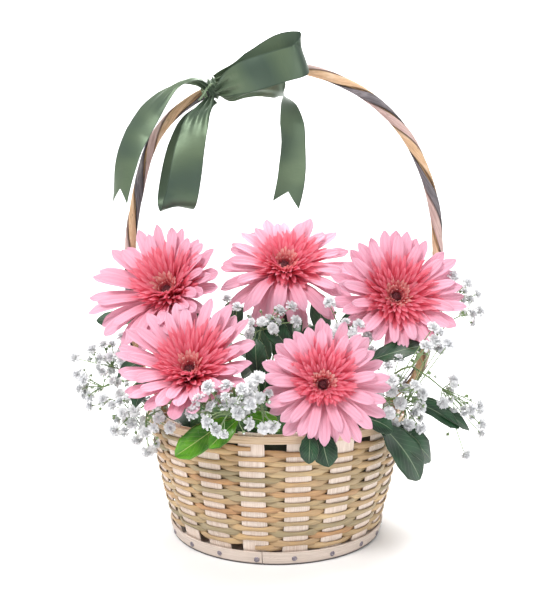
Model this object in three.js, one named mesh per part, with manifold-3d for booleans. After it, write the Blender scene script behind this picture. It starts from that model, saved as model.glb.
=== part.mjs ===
// A round splint basket with a bark-wrapped hoop handle and a satin ribbon bow, filled with
// five double gerberas, glossy leaves and gypsophila that stand in a block of floral foam.
// Millimetres, +Z up, the front of the arrangement faces -Y, and the origin is the centre of the foot.

import * as THREE from 'three';
import Module from 'manifold-3d';

const wasm = await Module();
wasm.setup();

const TAU = 2 * Math.PI;
const DEGREE = Math.PI / 180;

// Clearance between pieces that touch or pass each other
const CLEARANCE = 0.3;

// Basket wall: flat stakes that flare from the foot to the rim
const STAKE_COUNT = 19;
const STAKE_STEP = 360 / STAKE_COUNT;
const FIRST_STAKE = -10;
const STAKE_WIDTH = 17.5;
const STAKE_THICKNESS = 1.2;
const STAKE_TOP = 96.5;
const WALL_HEIGHT = 94;
const WALL_LEVELS = [0, 13, 38, 66, STAKE_TOP];
const STAKE_BOTTOM = 2;
const FOOT_RADIUS = 79;
const FLARE = 20.5;
const FLARE_POWER = 1.35;

// Woven strand: one flat cane that spirals up, over one stake and under the next
const ROW_COUNT = 17;
const ROW_PITCH = 4.2;
const FIRST_ROW = 12.6;
const STRAND_THICKNESS = 1.2;
const STRAND_RISE = 2.4;
const STRAND_CREST_HEIGHT = 5.4;
const STRAND_GAP_HEIGHT = 3.3;
const STRAND_CREST_REACH = 7.6;
const STRAND_GAP_INSET = 1;

// Hoops of the basket, and the disc that closes its foot
const HOOP_SIDES = 2 * STAKE_COUNT;
const HOOP_TURN = 4;
const FOOT_HOOP_HEIGHT = 9.5;
const FOOT_HOOP_THICKNESS = 1.8;
const NAIL_RADIUS = 1.9;
const NAIL_HEIGHT = 0.9;
const BASE_BOTTOM = 0;
const BASE_TOP = 5.5;
const RIM_BOTTOM = 88.5;
const RIM_TOP = 93.5;
const RIM_THICKNESS = 1.4;
const OUTER_RIM_RADIUS = 101.2;
const INNER_RIM_RADIUS = 97.5;

// Liner and foam
const LINER_WALL = 1.2;
const FOAM_RADIUS = 69;
const FOAM_EDGE = 87;
const FOAM_CROWN = 96;
const STEM_DEPTH = 30;

// Handle: a cane core wrapped in three strips of bark
const CORE_RADIUS = 2.6;
const STRIP_RADIUS = 3.9;
const STRIP_WIDTH = 6.6;
const STRIP_THICKNESS = 1.2;
// Turns of the strips round the core at shares of their length
const STRIP_TURNS = [[0, 2.2], [0.3, 0], [0.43, -1], [0.64, -2], [0.79, -3], [1, -4.5]];

// Ribbon
const RIBBON_THICKNESS = 0.8;

// Every random draw comes from this seeded stream
let seed = 20240611;
function random() {
  seed = (seed * 1664525 + 1013904223) % 4294967296;
  return seed / 4294967296;
}

function between(low, high) {
  return low + (high - low) * random();
}

function point(x, y, z) {
  return new THREE.Vector3(x, y, z);
}

function range(count) {
  return Array.from({ length: count }, (_, index) => index);
}

// A point at a radius and a bearing in degrees from the front, positive towards +X
function around(radius, bearing, z) {
  return point(radius * Math.sin(bearing * DEGREE), -radius * Math.cos(bearing * DEGREE), z);
}

// Closed solids

function solidFrom(corners, faces) {
  let volume = 0;
  for (const [a, b, c] of faces) {
    volume += corners[a].dot(point(0, 0, 0).crossVectors(corners[b], corners[c]));
  }
  const outward = volume > 0 ? faces : faces.map(([a, b, c]) => [a, c, b]);
  const vertProperties = new Float32Array(corners.flatMap((corner) => corner.toArray()));
  const triVerts = new Uint32Array(outward.flat());
  return new wasm.Manifold(new wasm.Mesh({ numProp: 3, vertProperties, triVerts }));
}

// The walls between two rings that start at corners `low` and `high`. In a flat band one half of
// the walls turn their diagonals, so that both faces of a twisted band bend alike; `flat` is 1 or
// -1, by the way that it twists
function walls(low, high, sides, flat) {
  const faces = [];
  for (let side = 0; side < sides; side += 1) {
    const next = (side + 1) % sides;
    const [a, b, c, d] = [low + side, low + next, high + next, high + side];
    if (flat !== 0 && (side < sides / 2) === (flat > 0)) {
      faces.push([a, b, d], [b, c, d]);
    } else {
      faces.push([a, b, c], [a, c, d]);
    }
  }
  return faces;
}

// Joins a row of rings, each with the same number of corners, and closes both ends,
// flat or in a point
function skin(rings, endPoint = null, flat = 0) {
  const sides = rings[0].length;
  const corners = rings.flat();
  const faces = range(rings.length - 1)
    .flatMap((ring) => walls(ring * sides, (ring + 1) * sides, sides, flat));
  for (let side = 1; side < sides - 1; side += 1) {
    faces.push([0, side + 1, side]);
  }
  const last = (rings.length - 1) * sides;
  if (endPoint) {
    corners.push(endPoint);
    for (let side = 0; side < sides; side += 1) {
      faces.push([last + side, last + (side + 1) % sides, corners.length - 1]);
    }
  } else {
    for (let side = 1; side < sides - 1; side += 1) {
      faces.push([last, last + side, last + side + 1]);
    }
  }
  return solidFrom(corners, faces);
}

// Joins a row of rings into a closed loop
function closedSkin(rings, flat = 0) {
  const sides = rings[0].length;
  const faces = rings
    .flatMap((_, ring) => walls(ring * sides, ((ring + 1) % rings.length) * sides, sides, flat));
  return solidFrom(rings.flat(), faces);
}

function directionAt(points, index) {
  const before = points[Math.max(index - 1, 0)];
  const after = points[Math.min(index + 1, points.length - 1)];
  return after.clone().sub(before).normalize();
}

function perpendicularTo(direction) {
  const helper = Math.abs(direction.x) < 0.8 ? point(1, 0, 0) : point(0, 1, 0);
  return helper.cross(direction).normalize();
}

// A round rod along a row of points, with its own radius at each point
function rod(points, radii, sides) {
  const side = perpendicularTo(directionAt(points, 0));
  const rings = points.map((centre, index) => {
    const along = directionAt(points, index);
    side.addScaledVector(along, -side.dot(along)).normalize();
    const up = point(0, 0, 0).crossVectors(along, side);
    return range(sides).map((corner) => {
      const angle = (TAU * corner) / sides;
      const radius = radii[index];
      return centre.clone()
        .addScaledVector(side, radius * Math.cos(angle))
        .addScaledVector(up, radius * Math.sin(angle));
    });
  });
  return skin(rings);
}

// A flat band along a row of points; widths lie along the given directions
function band(points, across, widths, thickness, closed = false, flat = 1) {
  const rings = points.map((centre, index) => {
    const along = closed
      ? points[(index + 1) % points.length].clone()
        .sub(points[(index + points.length - 1) % points.length]).normalize()
      : directionAt(points, index);
    const wide = across[index].clone().addScaledVector(along, -across[index].dot(along)).normalize();
    const out = point(0, 0, 0).crossVectors(along, wide);
    return [[-1, -1], [1, -1], [1, 1], [-1, 1]].map(([w, t]) => centre.clone()
      .addScaledVector(wide, (w * widths[index]) / 2)
      .addScaledVector(out, (t * thickness) / 2));
  });
  return closed ? closedSkin(rings, flat) : skin(rings, null, flat);
}

// A ring turned about Z from a closed profile of [radius, height] corners
function turnedRing(profile, sides, firstBearing) {
  return closedSkin(range(sides).map((side) => {
    const bearing = firstBearing + (360 * side) / sides;
    return profile.map(([radius, z]) => around(radius, bearing, z));
  }));
}

// A solid turned about Z from a profile that starts and ends on the axis
function turnedSolid(profile, sides, firstBearing) {
  const points = profile.map(([radius, z]) => new THREE.Vector2(radius, z));
  const lathe = new THREE.LatheGeometry(points, sides).rotateX(Math.PI / 2);
  lathe.rotateZ(firstBearing * DEGREE);
  return weld(lathe);
}

function weld(geometry) {
  const spots = geometry.attributes.position;
  const corners = [];
  const numbers = new Map();
  const welded = range(spots.count).map((index) => {
    const corner = point(spots.getX(index), spots.getY(index), spots.getZ(index));
    const key = corner.toArray().map((value) => Math.round(value * 1e4)).join(' ');
    if (!numbers.has(key)) {
      numbers.set(key, corners.length);
      corners.push(corner);
    }
    return numbers.get(key);
  });
  const order = geometry.index ? Array.from(geometry.index.array) : range(spots.count);
  const faces = [];
  for (let index = 0; index < order.length; index += 3) {
    const face = order.slice(index, index + 3).map((corner) => welded[corner]);
    if (new Set(face).size === 3) faces.push(face);
  }
  return solidFrom(corners, faces);
}

function fuse(solids) {
  return solids.reduce((whole, solid) => whole.add(solid));
}

// Smooth stations along a curve through hand-placed points
function stations(points, count) {
  return new THREE.CatmullRomCurve3(points, false, 'centripetal').getSpacedPoints(count - 1);
}

// The same number of values, evenly blended from a short list
function blend(values, count) {
  return range(count).map((index) => {
    const at = (index * (values.length - 1)) / (count - 1);
    const low = Math.min(Math.floor(at), values.length - 2);
    const share = at - low;
    return typeof values[low] === 'number'
      ? THREE.MathUtils.lerp(values[low], values[low + 1], share)
      : values[low].clone().lerp(values[low + 1], share);
  });
}

// Pieces already placed, which later ones must stay clear of
const placed = [];

function boxesMeet(first, second) {
  return [0, 1, 2].every((axis) => first.min[axis] - CLEARANCE < second.max[axis]
    && second.min[axis] - CLEARANCE < first.max[axis]);
}

function isClear(solid) {
  const box = solid.boundingBox();
  return placed.every((other) => !boxesMeet(box, other.box)
    || solid.minGap(other.solid, CLEARANCE) > 0.8 * CLEARANCE);
}

// The first of several tries that stays clear of everything placed, or nothing
function firstClear(tries, make) {
  for (const attempt of tries) {
    const solid = make(attempt);
    if (isClear(solid)) return solid;
  }
  return null;
}

const arrangement = new THREE.Group();
arrangement.name = 'flower_basket';

function place(name, solid, material) {
  const mesh = solid.getMesh();
  const geometry = new THREE.BufferGeometry();
  geometry.setAttribute('position', new THREE.BufferAttribute(mesh.vertProperties, 3));
  geometry.setIndex(new THREE.BufferAttribute(mesh.triVerts, 1));
  geometry.computeVertexNormals();
  const piece = new THREE.Mesh(geometry, material);
  piece.name = name;
  arrangement.add(piece);
  placed.push({ solid, box: solid.boundingBox() });
}

function finish(color, roughness, metalness = 0) {
  return new THREE.MeshStandardMaterial({ color, roughness, metalness });
}

const FINISHES = {
  splint: finish('#dccbb8', 0.7),
  cane: finish('#c9a46c', 0.5),
  rimCane: finish('#cfae80', 0.5),
  hoopWood: finish('#d9c9b8', 0.7),
  liner: finish('#22301f', 0.4),
  foam: finish('#3f6b3a', 0.95),
  core: finish('#b89468', 0.7),
  greyBark: finish('#5f5a52', 0.8),
  mauveBark: finish('#b98f86', 0.7),
  tanBark: finish('#d3ae7c', 0.6),
  satin: finish('#5f7a5c', 0.35),
  tie: finish('#9fb486', 0.5),
  ray: finish('#f5a8ba', 0.5),
  floret: finish('#f0707f', 0.5),
  eye: finish('#5a2028', 0.7),
  stem: finish('#7f9a4f', 0.5),
  darkLeaf: finish('#2c5234', 0.3),
  brightLeaf: finish('#5c9a26', 0.3),
  gypsophila: finish('#f2f2ee', 0.7),
};

// Basket

function flaredRadius(z) {
  return FOOT_RADIUS + FLARE * (1 - (1 - Math.min(z / WALL_HEIGHT, 1)) ** FLARE_POWER);
}

// Each stake is straight between the levels where it bends
function stakeRadius(z) {
  const level = WALL_LEVELS.findIndex((height) => height >= z);
  const index = Math.max(level < 0 ? WALL_LEVELS.length - 1 : level, 1);
  const [low, high] = WALL_LEVELS.slice(index - 1, index + 1);
  return THREE.MathUtils.mapLinear(z, low, high, flaredRadius(low), flaredRadius(high));
}

function stake(number) {
  const bearing = FIRST_STAKE + number * STAKE_STEP;
  const centres = [STAKE_BOTTOM, ...WALL_LEVELS.slice(1)].map((z) => around(stakeRadius(z), bearing, z));
  const across = centres.map(() => around(1, bearing + 90, 0));
  return band(centres, across, centres.map(() => STAKE_WIDTH), STAKE_THICKNESS);
}

function basketFrame() {
  const radius = FOOT_RADIUS + 1;
  const disc = turnedSolid(
    [[0, BASE_BOTTOM], [radius, BASE_BOTTOM], [radius, BASE_TOP], [0, BASE_TOP]],
    2 * STAKE_COUNT,
    FIRST_STAKE,
  );
  return fuse([disc, ...range(STAKE_COUNT).map(stake)]);
}

// Plan position of the strand where it crosses in front of a stake, at a reach to one side
function crest(bearing, z, reach) {
  return around(stakeRadius(z) + STRAND_RISE, bearing, z).add(around(reach, bearing + 90, 0));
}

function wovenStrand() {
  const centres = [];
  const heights = [];
  range(ROW_COUNT * STAKE_COUNT).forEach((crossing) => {
    const bearing = FIRST_STAKE + crossing * STAKE_STEP;
    const z = FIRST_ROW + (ROW_PITCH * crossing) / STAKE_COUNT;
    if (crossing % 2 === 0) {
      centres.push(crest(bearing, z, -STRAND_CREST_REACH), crest(bearing, z, STRAND_CREST_REACH));
      heights.push(STRAND_CREST_HEIGHT, STRAND_CREST_HEIGHT);
    }
    const next = z + ROW_PITCH / STAKE_COUNT / 2;
    centres.push(around(stakeRadius(next) - STRAND_GAP_INSET, bearing + STAKE_STEP / 2, next));
    heights.push(STRAND_GAP_HEIGHT);
  });
  return strand(centres, heights);
}

// A split cane: flat on its inner face, with a low ridge along the outer one
function strand(centres, heights) {
  return skin(centres.map((centre, index) => {
    const along = directionAt(centres, index);
    const out = point(along.y, -along.x, 0).normalize();
    const inner = centre.clone().addScaledVector(out, -STRAND_THICKNESS / 2);
    const slope = stakeRadius(centre.z + 1) - stakeRadius(centre.z);
    const half = out.clone().multiplyScalar(slope).add(point(0, 0, 1)).multiplyScalar(heights[index] / 2);
    return [
      inner.clone().sub(half),
      centre.clone().addScaledVector(out, STRAND_THICKNESS / 2),
      inner.clone().add(half),
    ];
  }));
}

// Radius of a ring that just clears the outer corners of the stakes at a height
function overStakes(z) {
  const face = stakeRadius(z) + STAKE_THICKNESS / 2;
  return Math.hypot(face, STAKE_WIDTH / 2) + CLEARANCE + 0.1;
}

function footHoop() {
  const low = overStakes(0);
  const high = overStakes(FOOT_HOOP_HEIGHT);
  const profile = [
    [low, 0],
    [low + FOOT_HOOP_THICKNESS, 0],
    [high + FOOT_HOOP_THICKNESS, FOOT_HOOP_HEIGHT],
    [high, FOOT_HOOP_HEIGHT],
  ];
  const ring = turnedRing(profile, HOOP_SIDES, FIRST_STAKE + HOOP_TURN);
  const nails = range(STAKE_COUNT).map((number) => {
    const bearing = FIRST_STAKE + number * STAKE_STEP;
    const face = (low + high) / 2 + FOOT_HOOP_THICKNESS;
    const height = FOOT_HOOP_HEIGHT / 2;
    const line = [around(face - 1, bearing, height), around(face + NAIL_HEIGHT, bearing, height)];
    return rod(line, [NAIL_RADIUS, 0.6 * NAIL_RADIUS], 4);
  });
  return fuse([ring, ...nails]);
}

function rimBand(innerRadius) {
  const profile = [
    [innerRadius, RIM_BOTTOM],
    [innerRadius + RIM_THICKNESS, RIM_BOTTOM],
    [innerRadius + RIM_THICKNESS, RIM_TOP],
    [innerRadius, RIM_TOP],
  ];
  return turnedRing(profile, 2 * STAKE_COUNT, FIRST_STAKE);
}

// The liner's outside, from the middle of its floor to its lip
const LINER_PROFILE = [[0, 5.8], [58, 5.8], [67, 12], [76, 50], [82, 86]];

function liner() {
  const inside = LINER_PROFILE.map(([radius, z], index) => [
    index === 0 ? 0 : radius - LINER_WALL,
    index < LINER_PROFILE.length - 1 ? z + LINER_WALL : z,
  ]);
  return turnedSolid([...LINER_PROFILE, ...inside.reverse()], 20, 0);
}

function foamBlock(holes) {
  const block = turnedSolid([
    [0, 7.4],
    [56, 7.4],
    [64, 13.5],
    [FOAM_RADIUS, 45],
    [FOAM_RADIUS, FOAM_EDGE],
    [FOAM_RADIUS - 12, FOAM_CROWN - 2],
    [0, FOAM_CROWN],
  ], 20, 0);
  return holes.reduce((foam, hole) => foam.subtract(hole), block);
}

// Handle: from the right foot, tucked inside the wall between two stakes, over to the left foot
const RIGHT_FOOT_BEARING = FIRST_STAKE + 5.5 * STAKE_STEP;
const LEFT_FOOT_BEARING = FIRST_STAKE - 4.5 * STAKE_STEP;
const FOOT_RADII = [[80, 24], [86.5, 50], [91.5, 75], [92.2, 88], [92.6, 94.5], [97, 101.5]];
const HOOP_POINTS = [
  [107, 7, 109], [117, 6, 124], [124, 5, 148], [131, 4, 183], [131, 3, 217], [128.5, 2, 250],
  [120.4, 1, 281], [104.6, 0, 312.5], [80, 0, 339], [55.8, 0, 354], [25.9, 0, 365], [0, 0, 366],
  [-28, 0, 360], [-55.7, 0, 347.5], [-70.3, 0, 339], [-85.6, 1, 327], [-99.4, 2, 309],
  [-108.3, 4, 285], [-115.5, 6, 254], [-119.5, 8, 225], [-120, 9, 190], [-117.5, 9.5, 155],
  [-112.5, 9.5, 125], [-106, 9, 109],
];

const STRIP_START = 0.115;
const STRIP_END = 0.885;

function handleCurve() {
  const right = FOOT_RADII.map(([radius, z]) => around(radius, RIGHT_FOOT_BEARING, z));
  const left = FOOT_RADII.map(([radius, z]) => around(radius, LEFT_FOOT_BEARING, z)).reverse();
  const hoop = HOOP_POINTS.map(([x, y, z]) => point(x, y, z));
  return new THREE.CatmullRomCurve3([...right, ...hoop, ...left], false, 'centripetal');
}

const HANDLE_CURVE = handleCurve();

function handleCore() {
  const points = HANDLE_CURVE.getSpacedPoints(60);
  return rod(points, points.map(() => CORE_RADIUS), 5);
}

function turnsAt(along) {
  const next = Math.max(1, STRIP_TURNS.findIndex(([share]) => share >= along));
  const [[from, first], [to, last]] = STRIP_TURNS.slice(next - 1, next + 1);
  return THREE.MathUtils.mapLinear(along, from, to, first, last);
}

// Each strip winds round the core, and tapers to a point at both feet
function handleStrip(number) {
  const count = 64;
  const centres = [];
  const across = [];
  const widths = [];
  for (let index = 0; index < count; index += 1) {
    const along = index / (count - 1);
    const share = THREE.MathUtils.lerp(STRIP_START, STRIP_END, along);
    const direction = HANDLE_CURVE.getTangentAt(share);
    const sideways = point(0, 1, 0).addScaledVector(direction, -direction.y).normalize();
    const outward = point(0, 0, 0).crossVectors(sideways, direction);
    const angle = TAU * (number / 3 + 0.75 + turnsAt(along));
    const radial = sideways.clone().multiplyScalar(Math.sin(angle))
      .addScaledVector(outward, Math.cos(angle));
    centres.push(HANDLE_CURVE.getPointAt(share).addScaledVector(radial, STRIP_RADIUS));
    across.push(point(0, 0, 0).crossVectors(direction, radial));
    const end = Math.min(along, 1 - along) * (count - 1);
    widths.push(STRIP_WIDTH * Math.min(1, 0.35 + 0.45 * end));
  }
  return band(centres, across, widths, STRIP_THICKNESS, false, -1);
}

// The bark that ties the handle's foot to both rim bands: a turn round the bands on each side of
// the core, and a patch that crosses in front of them
const LASHING_WIDTH = 3.6;
const LASHING_SHIFT = 4.8;
const LASHING_INNER = 88.4;
const LASHING_ROOM = 1.4;
const LASHING_CORNER = 1.5;
const LASHING_PATCH = 6;

function lashing(bearing) {
  const outer = OUTER_RIM_RADIUS + RIM_THICKNESS + LASHING_ROOM;
  const low = RIM_BOTTOM - LASHING_ROOM;
  const high = RIM_TOP + LASHING_ROOM;
  const route = [
    [LASHING_INNER + LASHING_CORNER, high], [outer - LASHING_CORNER, high],
    [outer, high - LASHING_CORNER], [outer, low + LASHING_CORNER],
    [outer - LASHING_CORNER, low], [LASHING_INNER + LASHING_CORNER, low],
    [LASHING_INNER, low + LASHING_CORNER], [LASHING_INNER, high - LASHING_CORNER],
  ];
  const beside = (radius, z, side) => around(radius, bearing, z).add(around(side, bearing + 90, 0));
  const turns = [-LASHING_SHIFT, LASHING_SHIFT].map((side) => band(
    route.map(([radius, z]) => beside(radius, z, side)),
    route.map(() => around(1, bearing + 90, 0)),
    route.map(() => LASHING_WIDTH),
    STRIP_THICKNESS,
    true,
  ));
  const patch = band(
    [-LASHING_SHIFT, LASHING_SHIFT].map((side) => beside(outer, (low + high) / 2, side)),
    [point(0, 0, 1), point(0, 0, 1)],
    [LASHING_PATCH, LASHING_PATCH],
    STRIP_THICKNESS,
  );
  return fuse([...turns, patch]);
}

// Bow

// Share of the handle's length at which it passes closest to a point
function shareNear(target) {
  const shares = range(801).map((step) => step / 800);
  const distances = shares.map((share) => HANDLE_CURVE.getPointAt(share).distanceTo(target));
  return shares[distances.indexOf(Math.min(...distances))];
}

const KNOT_SHARE = shareNear(point(-50, 0, 350));
const KNOT_CENTRE = HANDLE_CURVE.getPointAt(KNOT_SHARE);
const KNOT_DIRECTION = HANDLE_CURVE.getTangentAt(KNOT_SHARE);

// The ribbon pulled tight round the handle: [radius, place along the handle]
const KNOT_PROFILE = [[6, -6.5], [7.2, -6.5], [8.6, -2.5], [8.6, 2.5], [7.2, 6.5], [6, 6.5]];
const KNOT_SIDES = 10;

function bowKnot() {
  const wide = perpendicularTo(KNOT_DIRECTION);
  const up = point(0, 0, 0).crossVectors(KNOT_DIRECTION, wide);
  return closedSkin(range(KNOT_SIDES).map((side) => {
    const angle = (TAU * side) / KNOT_SIDES;
    return KNOT_PROFILE.map(([radius, along]) => KNOT_CENTRE.clone()
      .addScaledVector(KNOT_DIRECTION, along)
      .addScaledVector(wide, radius * Math.cos(angle))
      .addScaledVector(up, radius * Math.sin(angle)));
  }));
}

// Each ribbon: its middle line as steps from the knot, the direction of its width, and its width
const RIBBONS = {
  bow_loop: {
    route: [
      [1.4, -9.2, 4.4], [8, -10.4, 6], [20, -11, 8.5], [38, -11, 18], [56, -11, 28],
      [67.5, -12.5, 28.5], [71.5, -18, 22.5], [68.5, -26, 16], [55, -31, 11], [38, -32, 5],
      [20, -27, 0], [8, -17, -3.5], [2.8, -8.5, -4.6],
    ],
    across: [
      [-0.3, -0.2, 0.9], [-0.35, -0.15, 0.92], [-0.35, -0.1, 0.92], [-0.35, -0.1, 0.92],
      [-0.35, -0.15, 0.92], [-0.3, -0.2, 0.9],
    ],
    widths: [7, 17, 23.5, 25, 25, 25, 25, 25, 25, 24, 18, 7],
    count: 17,
  },
  bow_hanging_loop: {
    route: [
      [-1.6, -5, -8.6], [-5.2, -13, -16.5], [-10.5, -20, -27], [-16, -24, -50], [-20, -24, -75],
      [-24, -22, -93], [-28, -17, -97.5], [-31, -12, -93], [-29.5, -9, -75], [-24, -8, -50],
      [-15, -6, -27], [-5, 0, -14], [0.8, 2.2, -9.8],
    ],
    across: [
      [0.9, -0.1, 0.4], [0.95, -0.25, 0.1], [0.98, 0, 0.1], [0.98, 0, 0.1], [0.95, 0.1, 0.1],
      [0.9, 0, 0.4],
    ],
    widths: [6, 17, 22.5, 24.5, 24.9, 25, 25, 25, 24.9, 24.5, 22, 16, 6],
    count: 17,
  },
  bow_left_tail: {
    route: [
      [-4.6, -9.3, -2], [-12, -12, 2], [-21, -15, 1.5], [-31, -18, -4], [-46, -22, -21],
      [-60, -24, -46], [-67, -25, -68], [-71, -26, -96],
    ],
    across: [
      [0.3, -0.5, 0.8], [0.25, -0.6, 0.75], [0.2, -0.9, 0.25], [0.4, -0.8, -0.3],
      [0.55, -0.65, -0.5], [0.8, -0.45, -0.4], [0.74, -0.65, -0.2], [0.65, -0.75, -0.05],
    ],
    widths: [7, 17, 22.5, 24.5, 24.9, 25, 25],
    count: 14,
  },
  bow_right_tail: {
    route: [
      [7.2, -2.2, -6.4], [14, -7, -9], [24, -13, -6.5], [38, -17, -4], [48, -16, -4],
      [55, -15, -6], [59, -15, -13], [62, -15, -28], [63.5, -15, -52], [62, -15, -75],
      [57.5, -16, -96],
    ],
    across: [
      [0, 1, 0.1], [0, 0.95, -0.3], [0, 0.85, -0.5], [0, 0.85, -0.5], [0.1, 0.95, -0.25],
      [0.45, 0.88, -0.05], [0.7, 0.7, 0], [0.83, 0.55, 0], [0.85, 0.5, 0], [0.85, 0.5, 0],
    ],
    widths: [6, 16, 22.5, 24.5, 24.9, 25, 25, 25],
    count: 18,
  },
};

function ribbon({ route, across, widths, count }) {
  const centres = stations(route.map((step) => point(...step).add(KNOT_CENTRE)), count);
  const directions = blend(across.map((values) => point(...values)), count);
  return band(centres, directions, blend(widths, count), RIBBON_THICKNESS);
}

// The thin tie beside the knot, most of a turn round the handle
const TIE_RADIUS = 0.7;
const TIE_REACH = 6.7;
const TIE_STATIONS = 12;
const TIE_TURNS = [0.3, 1.16];
const TIE_PLACE = [8.6, 10];

function bowTie() {
  const wide = perpendicularTo(KNOT_DIRECTION);
  const up = point(0, 0, 0).crossVectors(KNOT_DIRECTION, wide);
  const turns = blend(TIE_TURNS, TIE_STATIONS);
  const places = blend(TIE_PLACE, TIE_STATIONS);
  const centres = turns.map((turn, index) => KNOT_CENTRE.clone()
    .addScaledVector(KNOT_DIRECTION, places[index])
    .addScaledVector(wide, TIE_REACH * Math.cos(TAU * turn))
    .addScaledVector(up, TIE_REACH * Math.sin(TAU * turn)));
  return rod(centres, centres.map(() => TIE_RADIUS), 4);
}

// Gerberas

// Each flower: the centre of its face, how far it faces up and to the right (degrees), its radius,
// its turn about its own axis, where its stem enters the foam, how far its petals rise at the rim,
// and the bearing towards which they are longer, with the share
const GERBERAS = [
  {
    name: 'gerbera_1', centre: [-81.5, -30, 185],
    up: 34, right: -18, radius: 54, turn: 4, foot: [-42, 8], rise: 18, longer: [100, 0.17],
  },
  {
    name: 'gerbera_2', centre: [6.5, 0, 203],
    up: 41, right: -3, radius: 57, turn: 9, foot: [4, 30], rise: 3, longer: [-120, 0.06],
  },
  {
    name: 'gerbera_3', centre: [90.6, -28, 181],
    up: 22, right: 2, radius: 51, turn: 0, foot: [44, 8], rise: 20, longer: [0, 0.03],
  },
  {
    name: 'gerbera_4', centre: [-58.8, -82, 132],
    up: 41, right: -8, radius: 49, turn: 6, foot: [-28, -30], rise: 20, longer: [10, 0.12],
  },
  {
    name: 'gerbera_5', centre: [30.2, -103, 128],
    up: 12, right: 0, radius: 43, turn: 2, foot: [16, -40], rise: 8, longer: [-70, 0.05],
  },
];

// Rows of a flower of radius 52, from the lowest up: how many petals, the [radius, height] line from
// the shoulder to the tip, the half width at the shoulder, and the keel below it. Each row grows
// from a collar of the hub
const GERBERA_RADIUS = 52;
const RAY_ROWS = [
  { count: 14, collar: [7, -6, -3.8], line: [[42, -4], [52, -5.5]], half: 5.4, keel: 1.2 },
  { count: 14, collar: [6.8, -3.2, -1], line: [[40.5, 4.2], [50, 3.4]], half: 5.2, keel: 1.2 },
];
const FLORET_ROWS = [
  { count: 18, collar: [6.6, -0.5, 1], line: [[22, 8.6], [28, 9.5]], half: 2.1, keel: 1 },
  { count: 12, collar: [5.6, 1.4, 2.8], line: [[14.5, 12], [18.5, 14]], half: 2, keel: 1 },
  { count: 8, collar: [4.6, 3.2, 4.4], line: [[8.2, 11.2], [9.2, 13.4]], half: 1.6, keel: 0.9 },
];

function faceNormal({ up, right }) {
  const level = Math.cos(up * DEGREE);
  return point(
    level * Math.sin(right * DEGREE),
    -level * Math.cos(right * DEGREE),
    Math.sin(up * DEGREE),
  );
}

// A row as it is at one bearing of a flower: its petals rise towards the rim, and are longer on
// the side that the flower opens to
function rowAt(row, { rise, longer: [towards, share] }, bearing) {
  const reach = 1 + share * Math.cos((bearing - towards) * DEGREE);
  const line = row.line.map(([radius, height]) => [
    radius * reach,
    height + rise * (radius / GERBERA_RADIUS) ** 1.5,
  ]);
  return { ...row, line };
}

// Places a flower of radius 52, built about its own Z axis, at its centre in the arrangement
function flowerFrame(flower) {
  const axis = faceNormal(flower);
  const right = point(0, 0, 1).cross(axis).negate().normalize();
  const top = point(0, 0, 0).crossVectors(axis, right);
  const scale = flower.radius / GERBERA_RADIUS;
  return new THREE.Matrix4().makeBasis(right, top, axis)
    .scale(point(scale, scale, scale))
    .setPosition(...flower.centre);
}

// The places of one strap-shaped petal: its two shoulders, the keel below them and its tip. It is
// raised by an angle about its root, and shortened by a share
function petalCorners(row, bearing, raise, length) {
  const [rootRadius, low, high] = row.collar;
  const rootHeight = (low + high) / 2;
  const [shoulder, tip] = row.line.map(([radius, height]) => {
    const out = (radius - rootRadius) * length;
    const rise = (height - rootHeight) * length;
    return [
      rootRadius + out * Math.cos(raise * DEGREE) - rise * Math.sin(raise * DEGREE),
      rootHeight + out * Math.sin(raise * DEGREE) + rise * Math.cos(raise * DEGREE),
    ];
  });
  const run = Math.hypot(tip[0] - rootRadius, tip[1] - rootHeight);
  const keel = [
    shoulder[0] + (row.keel * (tip[1] - rootHeight)) / run,
    shoulder[1] - (row.keel * (tip[0] - rootRadius)) / run,
  ];
  const spot = ([radius, height], sideways) => around(radius, bearing, height)
    .add(around(sideways, bearing + 90, 0));
  return [spot(shoulder, -row.half), spot(shoulder, row.half), spot(keel, 0), spot(tip, 0)];
}

// The same petal as a solid of its own, to see whether its place is free
function loosePetal(frame, row, bearing, corners) {
  const [radius, low, high] = row.collar;
  const root = [
    around(radius, bearing - 6, high),
    around(radius, bearing + 6, high),
    around(radius, bearing, low),
  ];
  const [left, right, keel, tip] = corners.map((corner) => corner.clone().applyMatrix4(frame));
  return skin([root.map((corner) => corner.applyMatrix4(frame)), [left, right, keel]], tip);
}

const RAISES = [0, 3, -3, 6, -6, 10, -10, 14, -14, 19, -19, 25, -25, 32, 40];
const PETAL_TRIES = [1, 0.88, 0.76, 0.6, 0.45].flatMap((length) => RAISES
  .map((raise) => [raise, length]));

function clearPetal(frame, row, bearing) {
  const lean = between(-1.5, 1.5);
  let corners = null;
  firstClear(PETAL_TRIES, ([raise, length]) => {
    corners = petalCorners(row, bearing, raise + lean, length);
    return loosePetal(frame, row, bearing, corners);
  });
  return corners;
}

// Fills the strip between two rings of corners, each a list of [number, bearing]
function stitch(lower, upper) {
  const faces = [];
  const at = (ring, index) => ring[index % ring.length][0];
  const bearingOf = (ring, index) => ring[index % ring.length][1] + (index < ring.length ? 0 : 360);
  let low = 0;
  let high = 0;
  while (low < lower.length || high < upper.length) {
    const lowerNext = low < lower.length ? bearingOf(lower, low + 1) : Infinity;
    const upperNext = high < upper.length ? bearingOf(upper, high + 1) : Infinity;
    if (lowerNext <= upperNext) {
      faces.push([at(lower, low), at(lower, low + 1), at(upper, high)]);
      low += 1;
    } else {
      faces.push([at(lower, low), at(upper, high + 1), at(upper, high)]);
      high += 1;
    }
  }
  return faces;
}

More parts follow.
